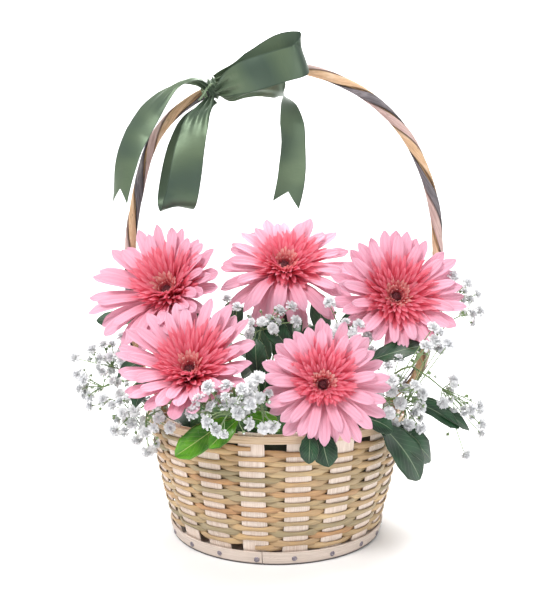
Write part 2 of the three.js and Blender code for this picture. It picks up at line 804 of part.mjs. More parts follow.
// A hub with its rows of petals as one closed solid, built about Z and then placed
function crown(flower, rows) {
  const frame = flowerFrame(flower);
  const corners = [];
  const faces = [];
  const number = (corner) => corners.push(corner.applyMatrix4(frame)) - 1;
  const rings = [];
  rows.forEach((row, level) => {
    const [radius, low, high] = row.collar;
    const step = 360 / row.count;
    const first = flower.turn + step * (level % 2 === 0 ? 0 : 0.5);
    const edges = range(row.count).map((index) => first + step * (index - 0.5));
    const bottom = edges.map((bearing) => [number(around(radius, bearing, low)), bearing]);
    const top = edges.map((bearing) => [number(around(radius, bearing, high)), bearing]);
    range(row.count).forEach((index) => {
      const next = (index + 1) % row.count;
      const bearing = first + step * index + between(-1, 1);
      const petal = clearPetal(frame, rowAt(row, flower, bearing), bearing);
      const [l, r, k, t] = petal.map(number);
      const [a, b, c, d] = [top[index][0], top[next][0], bottom[next][0], bottom[index][0]];
      faces.push([a, l, r], [a, r, b], [l, a, d], [l, d, k], [b, r, k], [b, k, c], [c, k, d]);
      faces.push([r, l, t], [l, k, t], [k, r, t]);
    });
    rings.push(bottom, top);
  });
  for (let level = 1; level < rows.length; level += 1) {
    faces.push(...stitch(rings[2 * level - 1], rings[2 * level]));
  }
  const base = rings[0].map(([corner]) => corner);
  const roof = rings[rings.length - 1].map(([corner]) => corner);
  for (let index = 1; index < base.length - 1; index += 1) {
    faces.push([base[0], base[index + 1], base[index]]);
  }
  for (let index = 1; index < roof.length - 1; index += 1) {
    faces.push([roof[0], roof[index], roof[index + 1]]);
  }
  return solidFrom(corners, faces);
}

function axisRod(flower, stops, sides) {
  const frame = flowerFrame(flower);
  const scale = flower.radius / GERBERA_RADIUS;
  const points = stops.map(([height]) => point(0, 0, height).applyMatrix4(frame));
  return rod(points, stops.map(([, radius]) => radius * scale), sides);
}

function eye(flower) {
  return axisRod(flower, [[4.8, 3.2], [6.6, 3], [7.6, 1.6]], 8);
}

// Holes in the foam, one for each stem
const holes = [];

// A stem from what it carries, down into the foam. Its middle is moved aside until it is clear
const ASIDE = [
  [0, 0], [4, 0], [-4, 0], [0, 5], [8, 0], [-8, 0], [0, 10], [6, 8], [-6, 8], [12, 0], [-12, 0],
  [0, 16], [12, 10], [-12, 10], [18, 4], [-18, 4], [0, -6], [10, -6], [-10, -6], [20, 14], [-20, 14],
];

function foamTop(x, y) {
  const radius = Math.hypot(x, y);
  return radius < FOAM_RADIUS - 12
    ? THREE.MathUtils.mapLinear(radius, 0, FOAM_RADIUS - 12, FOAM_CROWN, FOAM_CROWN - 2)
    : THREE.MathUtils.mapLinear(radius, FOAM_RADIUS - 12, FOAM_RADIUS, FOAM_CROWN - 2, FOAM_EDGE);
}

// The route curves down to the foam's surface, and is straight inside it
function stemRoute(start, foot, aside, count) {
  const entry = point(foot[0], foot[1], foamTop(...foot) + 1);
  const bottom = point(foot[0] * 0.94, foot[1] * 0.94, entry.z - STEM_DEPTH);
  const last = start[start.length - 1];
  const middle = last.clone().lerp(entry, 0.5).add(point(aside[0], aside[1], 0));
  return [...stations([...start, middle, entry], count - 1), bottom];
}

function stem(start, foot, radiusFrom, count, sides) {
  let route = null;
  const solid = firstClear(ASIDE, (aside) => {
    route = stemRoute(start, foot, aside, count);
    return rod(route, radiusFrom(route), sides);
  });
  if (solid) {
    const radius = radiusFrom(route)[count - 1] + CLEARANCE + 0.1;
    const [entry, bottom] = route.slice(-2);
    const along = bottom.clone().sub(entry).normalize();
    const from = entry.clone().addScaledVector(along, -3);
    holes.push(rod([from, bottom.clone().addScaledVector(along, 0.5)], [radius, radius], sides));
  }
  return solid;
}

function gerberaStem(flower) {
  const frame = flowerFrame(flower);
  const start = [-6.7, -11, -24].map((height) => point(0, 0, height).applyMatrix4(frame));
  const collar = (route) => route.map((spot) => {
    const away = spot.distanceTo(route[0]);
    return 2.6 + 3 * Math.max(0, 1 - away / 11);
  });
  return stem(start, flower.foot, collar, 10, 6);
}

// Leaves

// Share of the length, and share of the full width there
const LEAF_OUTLINE = [[0.03, 0.12], [0.34, 0.92], [0.72, 0.9]];
const LEAF_FOLD = 0.14;
const LEAF_THICKNESS = 0.9;
const STALK_RADIUS = 0.8;

// A leaf on its stalk, from where the stalk leaves the shoot. The blade faces along `face`, bows
// towards it by `bow`, and its two halves rise a little from the midrib
function leaf(root, { base, tip, width, face, bow }) {
  const start = point(...base);
  const end = point(...tip);
  const along = end.clone().sub(start);
  const facing = point(...face);
  facing.addScaledVector(along, -facing.dot(along) / along.lengthSq()).normalize();
  const side = point(0, 0, 0).crossVectors(along, facing).normalize();
  const section = (middle, half, rise, depth) => {
    const edge = middle.clone().addScaledVector(facing, rise);
    return [
      edge.clone().addScaledVector(side, -half),
      middle.clone().addScaledVector(facing, depth),
      edge.clone().addScaledVector(side, half),
      middle.clone().addScaledVector(facing, -depth),
    ];
  };
  const blade = LEAF_OUTLINE.map(([share, wide]) => {
    const rib = start.clone().addScaledVector(along, share)
      .addScaledVector(facing, bow * 4 * share * (1 - share));
    const half = (wide * width) / 2;
    return section(rib, half, LEAF_FOLD * half, LEAF_THICKNESS / 2);
  });
  return skin([stalkRing(root, start, side, facing), ...blade], end);
}

// The ring where a stalk leaves its shoot, square to the stalk and turned to match the blade
function stalkRing(root, start, side, facing) {
  const along = start.clone().sub(root).normalize();
  const wide = side.clone().addScaledVector(along, -side.dot(along)).normalize();
  const high = facing.clone().addScaledVector(along, -facing.dot(along))
    .addScaledVector(wide, -facing.dot(wide)).normalize();
  return [[-1, 0], [0, 1], [1, 0], [0, -1]].map(([w, h]) => root.clone()
    .addScaledVector(wide, w * STALK_RADIUS)
    .addScaledVector(high, h * STALK_RADIUS));
}

const LEAF_SHIFTS = [
  [0, 0, 0], [0, -3, 0], [0, 3, 0], [0, -6, 0], [0, 6, 0], [3, -3, -3], [-3, -3, -3], [0, -9, 3],
  [0, 9, 3], [6, -5, 0], [-6, -5, 0], [0, -13, 0], [0, 12, 5], [7, 7, 5], [-7, 7, 5], [0, -17, -4],
  [11, 0, 6], [-11, 0, 6], [0, 18, 0], [0, 0, -12], [0, 0, 12],
];

function shifted(values, shift, share) {
  return values.map((value, axis) => value + shift[axis] * share);
}

// A small knuckle where stalks leave a stem, so that each of them is sunk well in
function knuckle(centre, radius) {
  return weld(new THREE.OctahedronGeometry(radius, 0).translate(...centre.toArray()));
}

// Where a stem sets off from its crown towards the foam
function setOff(crownPoint, foot, share) {
  const entry = point(foot[0], foot[1], foamTop(...foot));
  const next = crownPoint.clone().lerp(entry, share);
  next.z = THREE.MathUtils.lerp(crownPoint.z, entry.z, 0.4 * share);
  return [crownPoint, next];
}

// A leafy shoot: its stem, and the leaves on their stalks, fused
function shoot({ top, foot, leaves }) {
  const head = point(...top);
  const main = stem(setOff(head, foot, 0.2), foot, (route) => route.map(() => 1.3), 6, 4);
  if (!main) return null;
  const parts = [main, knuckle(head, 2.2)];
  for (const shape of leaves) {
    const grown = firstClear(LEAF_SHIFTS, (shift) => leaf(head, {
      ...shape,
      base: shifted(shape.base, shift, 0.5),
      tip: shifted(shape.tip, shift, 1),
    }));
    if (grown) parts.push(grown);
  }
  return fuse(parts);
}

const FRONT = [0, -0.9, 0.45];
const SKY = [0, -0.5, 0.85];

const SHOOTS = [
  {
    name: 'leaves_front_left',
    material: 'brightLeaf',
    top: [-25, -95, 108],
    foot: [-18, -52],
    leaves: [
      { base: [-31, -100, 106], tip: [-68, -96, 79], width: 19, face: [0.2, -0.8, 0.6], bow: 3 },
      { base: [-25, -103, 106], tip: [-44, -107, 88], width: 13, face: [-0.1, -0.9, 0.3], bow: 2 },
      { base: [-21, -102, 106], tip: [2, -108, 99], width: 14, face: [0, -0.8, 0.6], bow: 2 },
    ],
  },
  {
    name: 'leaves_front_low',
    material: 'darkLeaf',
    top: [26, -104, 101],
    foot: [27, -57],
    leaves: [
      { base: [29, -107, 98], tip: [34, -112, 75], width: 17, face: [0, -1, 0.1], bow: 2 },
      { base: [22, -107, 98], tip: [21, -111, 78], width: 13, face: [-0.3, -1, 0.1], bow: 2 },
    ],
  },
  {
    name: 'leaves_right_low',
    material: 'darkLeaf',
    top: [52, -80, 104],
    foot: [42, -42],
    leaves: [
      { base: [56, -86, 103], tip: [80, -84, 93], width: 18, face: [0, -0.7, 0.7], bow: 3 },
      { base: [70, -82, 99], tip: [101, -72, 56], width: 24, face: [0.3, -0.9, 0.3], bow: 5 },
      { base: [76, -74, 97], tip: [112, -58, 66], width: 23, face: [0.5, -0.7, 0.5], bow: 5 },
    ],
  },
  {
    name: 'leaves_right',
    material: 'darkLeaf',
    top: [94, -34, 106],
    foot: [59, -16],
    leaves: [
      { base: [100, -38, 105], tip: [138, -37, 84], width: 17, face: [0.2, -0.7, 0.7], bow: 3 },
      { base: [102, -30, 107], tip: [149, -26, 80], width: 18, face: [0.3, -0.5, 0.8], bow: 5 },
    ],
  },
  {
    name: 'leaves_right_high',
    material: 'darkLeaf',
    top: [58, -52, 132],
    foot: [36, -20],
    leaves: [
      { base: [63, -58, 136], tip: [108, -56, 149], width: 18, face: [0, -0.6, 0.8], bow: 5 },
      { base: [52, -46, 138], tip: [30, -40, 160], width: 16, face: FRONT, bow: 3 },
    ],
  },
  {
    name: 'leaves_centre_left',
    material: 'darkLeaf',
    top: [-12, -60, 122],
    foot: [-6, -24],
    leaves: [
      { base: [-13, -66, 126], tip: [-15, -60, 154], width: 15, face: FRONT, bow: 2 },
      { base: [-16, -60, 116], tip: [-30, -86, 104], width: 16, face: SKY, bow: 2 },
    ],
  },
  {
    name: 'leaves_centre',
    material: 'darkLeaf',
    top: [14, -34, 138],
    foot: [13, -6],
    leaves: [
      { base: [10, -36, 143], tip: [-8, -32, 166], width: 18, face: FRONT, bow: 2 },
      { base: [18, -36, 143], tip: [36, -32, 158], width: 17, face: FRONT, bow: 2 },
      { base: [14, -30, 146], tip: [12, -16, 172], width: 16, face: FRONT, bow: 2 },
    ],
  },
  {
    name: 'leaves_left_high',
    material: 'darkLeaf',
    top: [-104, -2, 158],
    foot: [-57, -4],
    leaves: [
      { base: [-112, -4, 163], tip: [-144, -6, 163], width: 15, face: [-0.1, -0.8, 0.6], bow: 3 },
      { base: [-106, 4, 165], tip: [-128, 26, 176], width: 16, face: [-0.4, -0.2, 0.9], bow: 3 },
    ],
  },
  {
    name: 'leaves_left',
    material: 'darkLeaf',
    top: [-82, -40, 132],
    foot: [-50, -24],
    leaves: [
      { base: [-88, -44, 138], tip: [-118, -48, 124], width: 16, face: SKY, bow: 3 },
      { base: [-84, -48, 128], tip: [-98, -78, 108], width: 17, face: [-0.4, -0.5, 0.8], bow: 4 },
    ],
  },
  {
    name: 'leaves_back_left',
    material: 'darkLeaf',
    top: [-44, 66, 130],
    foot: [-36, 38],
    leaves: [
      { base: [-48, 72, 134], tip: [-76, 92, 150], width: 22, face: [-0.2, 0.7, 0.6], bow: 4 },
      { base: [-40, 74, 130], tip: [-28, 108, 118], width: 22, face: [0, 0.6, 0.8], bow: 5 },
      { base: [-52, 64, 128], tip: [-92, 74, 112], width: 22, face: [-0.5, 0.5, 0.7], bow: 5 },
      { base: [-44, 62, 140], tip: [-36, 64, 178], width: 20, face: [0, 0.9, 0.3], bow: 3 },
      { base: [-50, 60, 136], tip: [-78, 52, 168], width: 21, face: [-0.3, 0.8, 0.5], bow: 4 },
    ],
  },
  {
    name: 'leaves_back_centre',
    material: 'darkLeaf',
    top: [2, 62, 116],
    foot: [2, 44],
    leaves: [
      { base: [-6, 62, 121], tip: [-22, 58, 158], width: 19, face: [-0.1, 0.8, 0.5], bow: 4 },
      { base: [8, 62, 121], tip: [26, 58, 160], width: 19, face: [0.1, 0.8, 0.5], bow: 4 },
      { base: [-6, 70, 114], tip: [-32, 98, 100], width: 22, face: [-0.1, 0.4, 0.9], bow: 5 },
      { base: [2, 72, 113], tip: [0, 110, 98], width: 23, face: [0, 0.4, 0.9], bow: 5 },
      { base: [10, 70, 114], tip: [36, 96, 100], width: 22, face: [0.1, 0.4, 0.9], bow: 5 },
      { base: [2, 54, 120], tip: [4, 40, 152], width: 20, face: [0, 0.9, 0.5], bow: 3 },
    ],
  },
  {
    name: 'leaves_back_right',
    material: 'darkLeaf',
    top: [44, 66, 132],
    foot: [36, 40],
    leaves: [
      { base: [48, 72, 136], tip: [78, 90, 150], width: 22, face: [0.2, 0.7, 0.6], bow: 4 },
      { base: [40, 74, 132], tip: [30, 108, 116], width: 22, face: [0, 0.6, 0.8], bow: 5 },
      { base: [52, 64, 130], tip: [94, 72, 112], width: 22, face: [0.5, 0.5, 0.7], bow: 5 },
      { base: [44, 62, 142], tip: [40, 62, 182], width: 20, face: [0, 0.9, 0.3], bow: 3 },
      { base: [50, 60, 138], tip: [80, 50, 170], width: 21, face: [0.3, 0.8, 0.5], bow: 4 },
    ],
  },
];

// Gypsophila

const BLOSSOM_RADIUS = 4.3;
const BLOSSOM_POINTS = 5;
const TWIG_RADIUS = 0.55;

// A double blossom on its twig: a star of petals, thick in the middle, that faces along an axis,
// with the twig growing out of its back
function blossom(root, centre, axis, radius) {
  const side = perpendicularTo(axis);
  const up = point(0, 0, 0).crossVectors(axis, side);
  const corners = [];
  const spot = (angle, reach, height) => corners.push(centre.clone()
    .addScaledVector(side, reach * Math.cos(angle * DEGREE))
    .addScaledVector(up, reach * Math.sin(angle * DEGREE))
    .addScaledVector(axis, height)) - 1;
  const turn = between(0, 30);
  const star = range(2 * BLOSSOM_POINTS).map((index) => {
    const angle = turn + (180 * index) / BLOSSOM_POINTS;
    return [spot(angle, index % 2 === 0 ? radius : 0.68 * radius, index % 2 === 0 ? 0.5 : 0), angle];
  });
  const neck = [0, 120, 240].map((angle) => [spot(angle, TWIG_RADIUS, -0.5 * radius), angle]);
  const front = corners.push(centre.clone().addScaledVector(axis, 0.6 * radius)) - 1;
  const along = centre.clone().sub(root).normalize();
  const wide = side.clone().addScaledVector(along, -side.dot(along)).normalize();
  const high = point(0, 0, 0).crossVectors(along, wide);
  const foot = [0, 120, 240].map((angle) => corners.push(root.clone()
    .addScaledVector(wide, TWIG_RADIUS * Math.cos(angle * DEGREE))
    .addScaledVector(high, TWIG_RADIUS * Math.sin(angle * DEGREE))) - 1);
  const faces = [...stitch(neck, star), [foot[0], foot[2], foot[1]]];
  star.forEach(([corner], index) => {
    faces.push([corner, star[(index + 1) % star.length][0], front]);
  });
  range(3).forEach((index) => {
    const next = (index + 1) % 3;
    faces.push([foot[index], foot[next], neck[next][0]], [foot[index], neck[next][0], neck[index][0]]);
  });
  return solidFrom(corners, faces);
}

const BLOSSOM_SHIFTS = [
  [0, 0, 0], [0, -4, 0], [0, 4, 0], [0, -8, 2], [0, 8, 2], [3, -5, 3], [-3, -5, 3], [0, -13, 0],
  [5, 3, 5], [-5, 3, 5], [0, 13, 4], [0, -18, 3], [7, -9, -4], [-7, -9, -4],
];

// A spray: the stem, forks that leave it, and a blossom at the end of each twig
function spray({ top, foot, forks }) {
  const head = point(...top);
  const main = stem(setOff(head, foot, 0.16), foot, (route) => route.map(() => 0.9), 6, 4);
  if (!main) return null;
  const parts = [main, knuckle(head, 1.7)];
  for (const { at, blossoms } of forks) {
    const fork = point(...at);
    const branch = rod([head, fork], [0.8, 0.7], 3);
    if (!isClear(branch)) continue;
    parts.push(branch, knuckle(fork, 1.5));
    for (const spot of blossoms) {
      const radius = BLOSSOM_RADIUS * between(0.85, 1.1);
      const grown = firstClear(BLOSSOM_SHIFTS, (shift) => {
        const centre = point(...shifted(spot, shift, 1));
        const away = centre.clone().sub(fork).normalize().multiplyScalar(0.8);
        return blossom(fork, centre, away.add(point(0, -0.5, 0.2)).normalize(), radius);
      });
      if (grown) parts.push(grown);
    }
  }
  return fuse(parts);
}

const SPRAYS = [
  {
    name: 'gypsophila_left',
    top: [-106, -16, 118],
    foot: [-62, 14],
    forks: [
      {
        at: [-128, -20, 128],
        blossoms: [
          [-143, -20, 141], [-136, -24, 135], [-121, -16, 150], [-130, -12, 144],
        ],
      },
      {
        at: [-134, -24, 113],
        blossoms: [
          [-154, -22, 122], [-151, -26, 112], [-143, -25, 106], [-134, -26, 124],
          [-124, -26, 117],
        ],
      },
      { at: [-124, -24, 102], blossoms: [[-144, -22, 98], [-132, -28, 104], [-120, -30, 108]] },
    ],
  },
  {
    name: 'gypsophila_left_low',
    top: [-88, -50, 108],
    foot: [-45, -42],
    forks: [
      {
        at: [-106, -46, 97],
        blossoms: [
          [-122, -42, 102], [-118, -42, 92], [-113, -44, 83], [-104, -52, 100],
          [-111, -44, 107],
        ],
      },
      {
        at: [-93, -64, 99],
        blossoms: [
          [-96, -56, 108], [-93, -68, 89], [-91, -70, 76], [-83, -74, 100], [-74, -82, 95],
        ],
      },
    ],
  },
  {
    name: 'gypsophila_front',
    top: [-13, -97, 111],
    foot: [-6, -58],
    forks: [
      {
        at: [-31, -119, 112],
        blossoms: [
          [-49, -119, 121], [-41, -119, 117], [-43, -121, 108], [-37, -121, 103],
          [-27, -119, 118],
        ],
      },
      {
        at: [-10, -106, 116],
        blossoms: [
          [-20, -113, 114], [-11, -112, 121], [-16, -110, 128], [-3, -112, 103],
        ],
      },
    ],
  },
  {
    name: 'gypsophila_right_front',
    top: [72, -58, 108],
    foot: [52, -30],
    forks: [
      {
        at: [80, -66, 112],
        blossoms: [
          [71, -74, 116], [81, -72, 118], [86, -66, 125], [77, -82, 106],
        ],
      },
      {
        at: [92, -62, 106],
        blossoms: [
          [88, -68, 109], [98, -62, 102], [94, -60, 117], [106, -54, 112], [102, -64, 92],
        ],
      },
    ],
  },
  {
    name: 'gypsophila_right',
    top: [106, -18, 128],
    foot: [63, 4],
    forks: [
      {
        at: [134, -16, 178],
        blossoms: [
          [138, -12, 190], [146, -12, 187], [152, -12, 180], [158, -12, 184],
        ],
      },
      { at: [138, -14, 164], blossoms: [[154, -12, 168], [160, -12, 170]] },
      {
        at: [128, -26, 112],
        blossoms: [
          [135, -30, 119], [126, -34, 103], [147, -34, 98], [154, -32, 101], [156, -30, 86],
        ],
      },
    ],
  },
  {
    name: 'gypsophila_centre',
    top: [-14, -22, 148],
    foot: [-14, 0],
    forks: [
      { at: [-12, -36, 158], blossoms: [[-11, -40, 164], [-20, -40, 155], [-3, -44, 160]] },
      { at: [-32, -32, 156], blossoms: [[-42, -40, 160], [-37, -40, 151]] },
    ],
  },
  {
    name: 'gypsophila_centre_right',
    top: [48, -26, 140],
    foot: [28, -2],
    forks: [
      {
        at: [50, -44, 152],
        blossoms: [
          [46, -52, 160], [60, -54, 163], [66, -54, 155], [63, -60, 142],
        ],
      },
    ],
  },
  {
    name: 'gypsophila_back',
    top: [0, 76, 136],
    foot: [-8, 56],
    forks: [
      {
        at: [-14, 84, 150],
        blossoms: [
          [-24, 92, 158], [-12, 90, 164], [-4, 96, 152], [-18, 98, 142],
        ],
      },
      { at: [16, 82, 148], blossoms: [[26, 90, 158], [12, 88, 162], [6, 98, 140], [22, 98, 144]] },
    ],
  },
];

// Assembly

place('basket_stakes', basketFrame(), FINISHES.splint);
place('basket_weave', wovenStrand(), FINISHES.cane);
place('basket_foot_hoop', footHoop(), FINISHES.hoopWood);
place('basket_rim_outer', rimBand(OUTER_RIM_RADIUS), FINISHES.rimCane);
place('basket_rim_inner', rimBand(INNER_RIM_RADIUS - RIM_THICKNESS), FINISHES.rimCane);
place('basket_liner', liner(), FINISHES.liner);
place('handle_core', handleCore(), FINISHES.core);
place('handle_strip_grey', handleStrip(2), FINISHES.greyBark);
place('handle_strip_mauve', handleStrip(1), FINISHES.mauveBark);
place('handle_strip_tan', handleStrip(0), FINISHES.tanBark);
place('handle_lashing_right', lashing(RIGHT_FOOT_BEARING), FINISHES.mauveBark);
place('handle_lashing_left', lashing(LEFT_FOOT_BEARING), FINISHES.mauveBark);
place('bow_knot', bowKnot(), FINISHES.satin);
place('bow_tie', bowTie(), FINISHES.tie);
for (const [name, shape] of Object.entries(RIBBONS)) {
  place(name, ribbon(shape), FINISHES.satin);
}
for (const flower of GERBERAS) {
  place(`${flower.name}_rays`, crown(flower, RAY_ROWS), FINISHES.ray);
  place(`${flower.name}_florets`, crown(flower, FLORET_ROWS), FINISHES.floret);
  place(`${flower.name}_eye`, eye(flower), FINISHES.eye);
}
for (const flower of GERBERAS) {
  place(`${flower.name}_stem`, gerberaStem(flower), FINISHES.stem);
}
for (const shape of SHOOTS) {
  place(shape.name, shoot(shape), FINISHES[shape.material]);
}
for (const shape of SPRAYS) {
  place(shape.name, spray(shape), FINISHES.gypsophila);
}
place('floral_foam', foamBlock(holes), FINISHES.foam);

export default arrangement;
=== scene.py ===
import math
import random

import bpy
from mathutils import Matrix, Vector


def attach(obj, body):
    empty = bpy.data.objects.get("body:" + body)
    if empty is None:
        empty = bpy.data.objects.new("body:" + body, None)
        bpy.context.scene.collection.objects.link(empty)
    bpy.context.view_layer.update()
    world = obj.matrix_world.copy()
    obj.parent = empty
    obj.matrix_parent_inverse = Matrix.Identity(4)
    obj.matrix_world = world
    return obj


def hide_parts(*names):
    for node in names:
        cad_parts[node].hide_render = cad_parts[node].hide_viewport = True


# A flower basket: a woven splint basket with a bark-wrapped handle and a satin bow, filled with
# five double gerberas, glossy leaves and gypsophila. Shapes are worked out in millimetres, with
# the front facing -Y, and turned into metres when a piece is made.

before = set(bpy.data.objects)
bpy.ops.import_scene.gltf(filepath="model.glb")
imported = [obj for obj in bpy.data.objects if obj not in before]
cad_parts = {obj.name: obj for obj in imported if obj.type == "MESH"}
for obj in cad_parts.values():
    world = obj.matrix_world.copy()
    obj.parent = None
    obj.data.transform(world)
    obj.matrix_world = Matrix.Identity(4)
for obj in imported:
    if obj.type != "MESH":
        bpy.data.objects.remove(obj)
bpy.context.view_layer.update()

MM = 0.001
UP = Vector((0, 0, 1))

# Basket wall
STAKES = 19
STAKE_STEP = 360 / STAKES
FIRST_STAKE = -10
STAKE_WIDTH = 17.5
STAKE_THICKNESS = 1.2
STAKE_TOP = 96.5
WALL_HEIGHT = 94
FOOT_RADIUS = 79
FLARE = 20.5
FLARE_POWER = 1.35

# Woven cane
ROWS = 20
ROW_PITCH = 3.62
FIRST_ROW = 12
CANE_THICKNESS = 1.5
CANE_RISE = 1.7
CANE_INSET = 0.1575
# Half a stake's width as a share of the step to the next stake
HALF_STAKE = 0.29
# The cane's section as shares of half its height and half its thickness, and its height from the
# front of one stake, at 0, to the back of the next, at 1
CANE_SECTION = [
    (-1, -0.5), (-0.93, 0.1), (-0.6, 0.62), (-0.2, 0.94), (0.2, 0.94), (0.6, 0.62), (0.93, 0.1),
    (1, -0.5), (0.6, -0.6), (-0.6, -0.6),
]
CANE_HEIGHTS = [(0, 3.2), (0.22, 3.4), (0.36, 4.9), (0.6, 4.7), (0.8, 3.3), (1, 2.8)]

# Hoops
HOOP_HEIGHT = 9.5
HOOP_THICKNESS = 1.8
HOOP_SEAM = -6.6
HOOP_GAP = 0.35
RIM_LOW = 88.5
RIM_HIGH = 93.5
RIM_THICKNESS = 1.4
OUTER_RIM = 101.2
INNER_RIM = 96.1

# Handle
CORE_RADIUS = 2.7
STRIP_RADIUS = 3.7
STRIP_WIDTH = 6.9
STRIP_THICKNESS = 1.1
# Turns of the strips round the core at shares of their length
STRIP_TURNS = [(0, 2.2), (0.3, 0), (0.43, -1), (0.64, -2), (0.79, -3), (1, -4.5)]
STRIP_REACH = (0.1, 0.9)

# Bark lashings, wound over both rim bands
LASHING_INSIDE = 88.6
LASHING_OUTSIDE = 104.1
LASHING_LOW = 87.3
LASHING_HIGH = 94.8
LASHING_MIDDLE = (96, 91)
KNOT_NEAR = Vector((-50, 0, 350))

# Bow
RIBBON_WIDTH = 25

# Camera: it looks level along Y, through a lens that is shifted down a little
CAMERA_AWAY = 560
CAMERA_HEIGHT = 205
SENSOR = 36
LENS = 41.033
LENS_SHIFT = -0.05921


# Numbers and curves

def between(low, high):
    return low + (high - low) * random.random()


def mix(first, second, share):
    return first + (second - first) * share


def smooth(low, high, value):
    share = min(max((value - low) / (high - low), 0), 1)
    return share * share * (3 - 2 * share)


def read_stops(stops, at):
    """The value at a place among (place, value) stops, with soft bends between them."""
    if at <= stops[0][0]:
        return stops[0][1]
    for (low, first), (high, second) in zip(stops, stops[1:]):
        if at <= high:
            return mix(first, second, smooth(low, high, at))
    return stops[-1][1]


def read_line(values, share):
    """The value at a share of the way along a list of evenly spaced values."""
    at = min(max(share, 0), 1) * (len(values) - 1)
    low = min(int(at), len(values) - 2)
    return mix(values[low], values[low + 1], at - low)


def around(radius, bearing, z):
    turn = math.radians(bearing)
    return Vector((radius * math.sin(turn), -radius * math.cos(turn), z))


def bend_through(points, steps=12):
    """A dense smooth line through a few points."""
    ends = [2 * points[0] - points[1], *points, 2 * points[-1] - points[-2]]
    line = []
    for number in range(1, len(ends) - 2):
        p0, p1, p2, p3 = ends[number - 1:number + 3]
        a, b, c = [max((q - p).length, 1e-3) ** 0.5 for p, q in ((p0, p1), (p1, p2), (p2, p3))]
        m1 = (p2 - p1) + b * ((p1 - p0) / a - (p2 - p0) / (a + b))
        m2 = (p2 - p1) + b * ((p3 - p2) / c - (p3 - p1) / (b + c))
        for step in range(steps):
            t = step / steps
            line.append(p1 * (2 * t ** 3 - 3 * t ** 2 + 1) + m1 * (t ** 3 - 2 * t ** 2 + t)
                        + p2 * (3 * t ** 2 - 2 * t ** 3) + m2 * (t ** 3 - t ** 2))
    line.append(ends[-2].copy())
    return line


class Route:
    """A smooth line that gives its place and direction at any share of its length."""

    def __init__(self, points, steps=12):
        self.line = bend_through([Vector(p) for p in points], steps)
        self.lengths = [0]
        for first, second in zip(self.line, self.line[1:]):
            self.lengths.append(self.lengths[-1] + (second - first).length)
        self.length = self.lengths[-1]

    def at(self, share):
        target = min(max(share, 0), 1) * self.length
        low = 0
        high = len(self.lengths) - 1
        while high - low > 1:
            middle = (low + high) // 2
            if self.lengths[middle] <= target:
                low = middle
            else:
                high = middle
        part = (target - self.lengths[low]) / max(self.lengths[high] - self.lengths[low], 1e-9)
        return self.line[low].lerp(self.line[high], part)

    def way(self, share):
        reach = 0.004
        return (self.at(share + reach) - self.at(share - reach)).normalized()

    def nearest(self, spot, count=800):
        return min((step / count for step in range(count + 1)),
                   key=lambda share: (self.at(share) - spot).length)


# Meshes

class Form:
    """The corners and faces of one piece. Each corner carries three painted values, which say
    where it lies across the strip or petal, where it lies along it, and its own shade."""

    def __init__(self):
        self.corners = []
        self.paint = []
        self.faces = []
        self.finishes = []

    def corner(self, spot, paint):
        self.corners.append(spot * MM)
        self.paint.extend(paint)
        return len(self.corners) - 1

    def face(self, numbers, finish=0):
        self.faces.append(numbers)
        self.finishes.append(finish)

    def grid(self, rows, ring=False, loop=False, finish=0):
        """Joins rows of corner numbers. A ring joins each row's ends, a loop the last row's to
        the first."""
        count = len(rows[0])
        pairs = list(zip(rows, rows[1:] + ([rows[0]] if loop else [])))
        for low, high in pairs:
            for side in range(count if ring else count - 1):
                after = (side + 1) % count
                self.face((low[side], low[after], high[after], high[side]), finish)

    def tube(self, centres, radii, sides, paint, finish=0, closed=False):
        """A round rod along a line of points."""
        side = square_to(line_way(centres, 0))
        rows = []
        for number, centre in enumerate(centres):
            way = line_way(centres, number)
            side = (side - way * side.dot(way)).normalized()
            up = way.cross(side)
            share = number / (len(centres) - 1)
            row = []
            for corner in range(sides):
                turn = math.tau * corner / sides
                spot = centre + (side * math.cos(turn) + up * math.sin(turn)) * radii[number]
                row.append(self.corner(spot, (2 * corner / sides - 1, share, paint)))
            rows.append(row)
        self.grid(rows, ring=True, finish=finish)
        if closed:
            self.face(tuple(reversed(rows[0])), finish)
            self.face(tuple(rows[-1]), finish)

    def lathe(self, profile, sides, paint, place=None, finish=0):
        """Turns a line of (radius, height) about an axis. `place` moves it into position."""
        rows = []
        for radius, height in profile:
            row = []
            for side in range(sides):
                spot = around(radius, 360 * side / sides, height)
                value = (2 * side / sides - 1, height, paint)
                row.append(self.corner(place @ spot if place else spot, value))
            rows.append(row)
        self.grid(rows, ring=True, finish=finish)
        return rows


def line_way(centres, number):
    before = centres[max(number - 1, 0)]
    after = centres[min(number + 1, len(centres) - 1)]
    return (after - before).normalized()


def square_to(way):
    helper = Vector((1, 0, 0)) if abs(way.x) < 0.8 else Vector((0, 1, 0))
    return helper.cross(way).normalized()


def make_piece(name, form, finishes, nodes=(), crease=None):
    """Turns a form into a piece that rides on the basket, and stands for CAD nodes."""
    mesh = bpy.data.meshes.new(name)
    mesh.from_pydata(form.corners, [], form.faces)
    values = mesh.attributes.new("place", "FLOAT_VECTOR", "POINT")
    values.data.foreach_set("vector", form.paint)
    for finish in finishes:
        mesh.materials.append(finish)
    mesh.polygons.foreach_set("material_index", form.finishes)
    mesh.polygons.foreach_set("use_smooth", [True] * len(form.faces))
    if crease:
        mesh.set_sharp_from_angle(angle=math.radians(crease))
    mesh.update()
    thing = bpy.data.objects.new(name, mesh)
    bpy.context.scene.collection.objects.link(thing)
    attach(thing, "root")
    if nodes:
        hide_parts(*nodes)
    return thing


# Finishes

def tone(code):
    """A display colour such as "c8a070" as the shader's own numbers."""
    channels = [int(code[i:i + 2], 16) / 255 for i in (0, 2, 4)]
    return (*[c / 12.92 if c <= 0.04045 else ((c + 0.055) / 1.055) ** 2.4 for c in channels], 1)


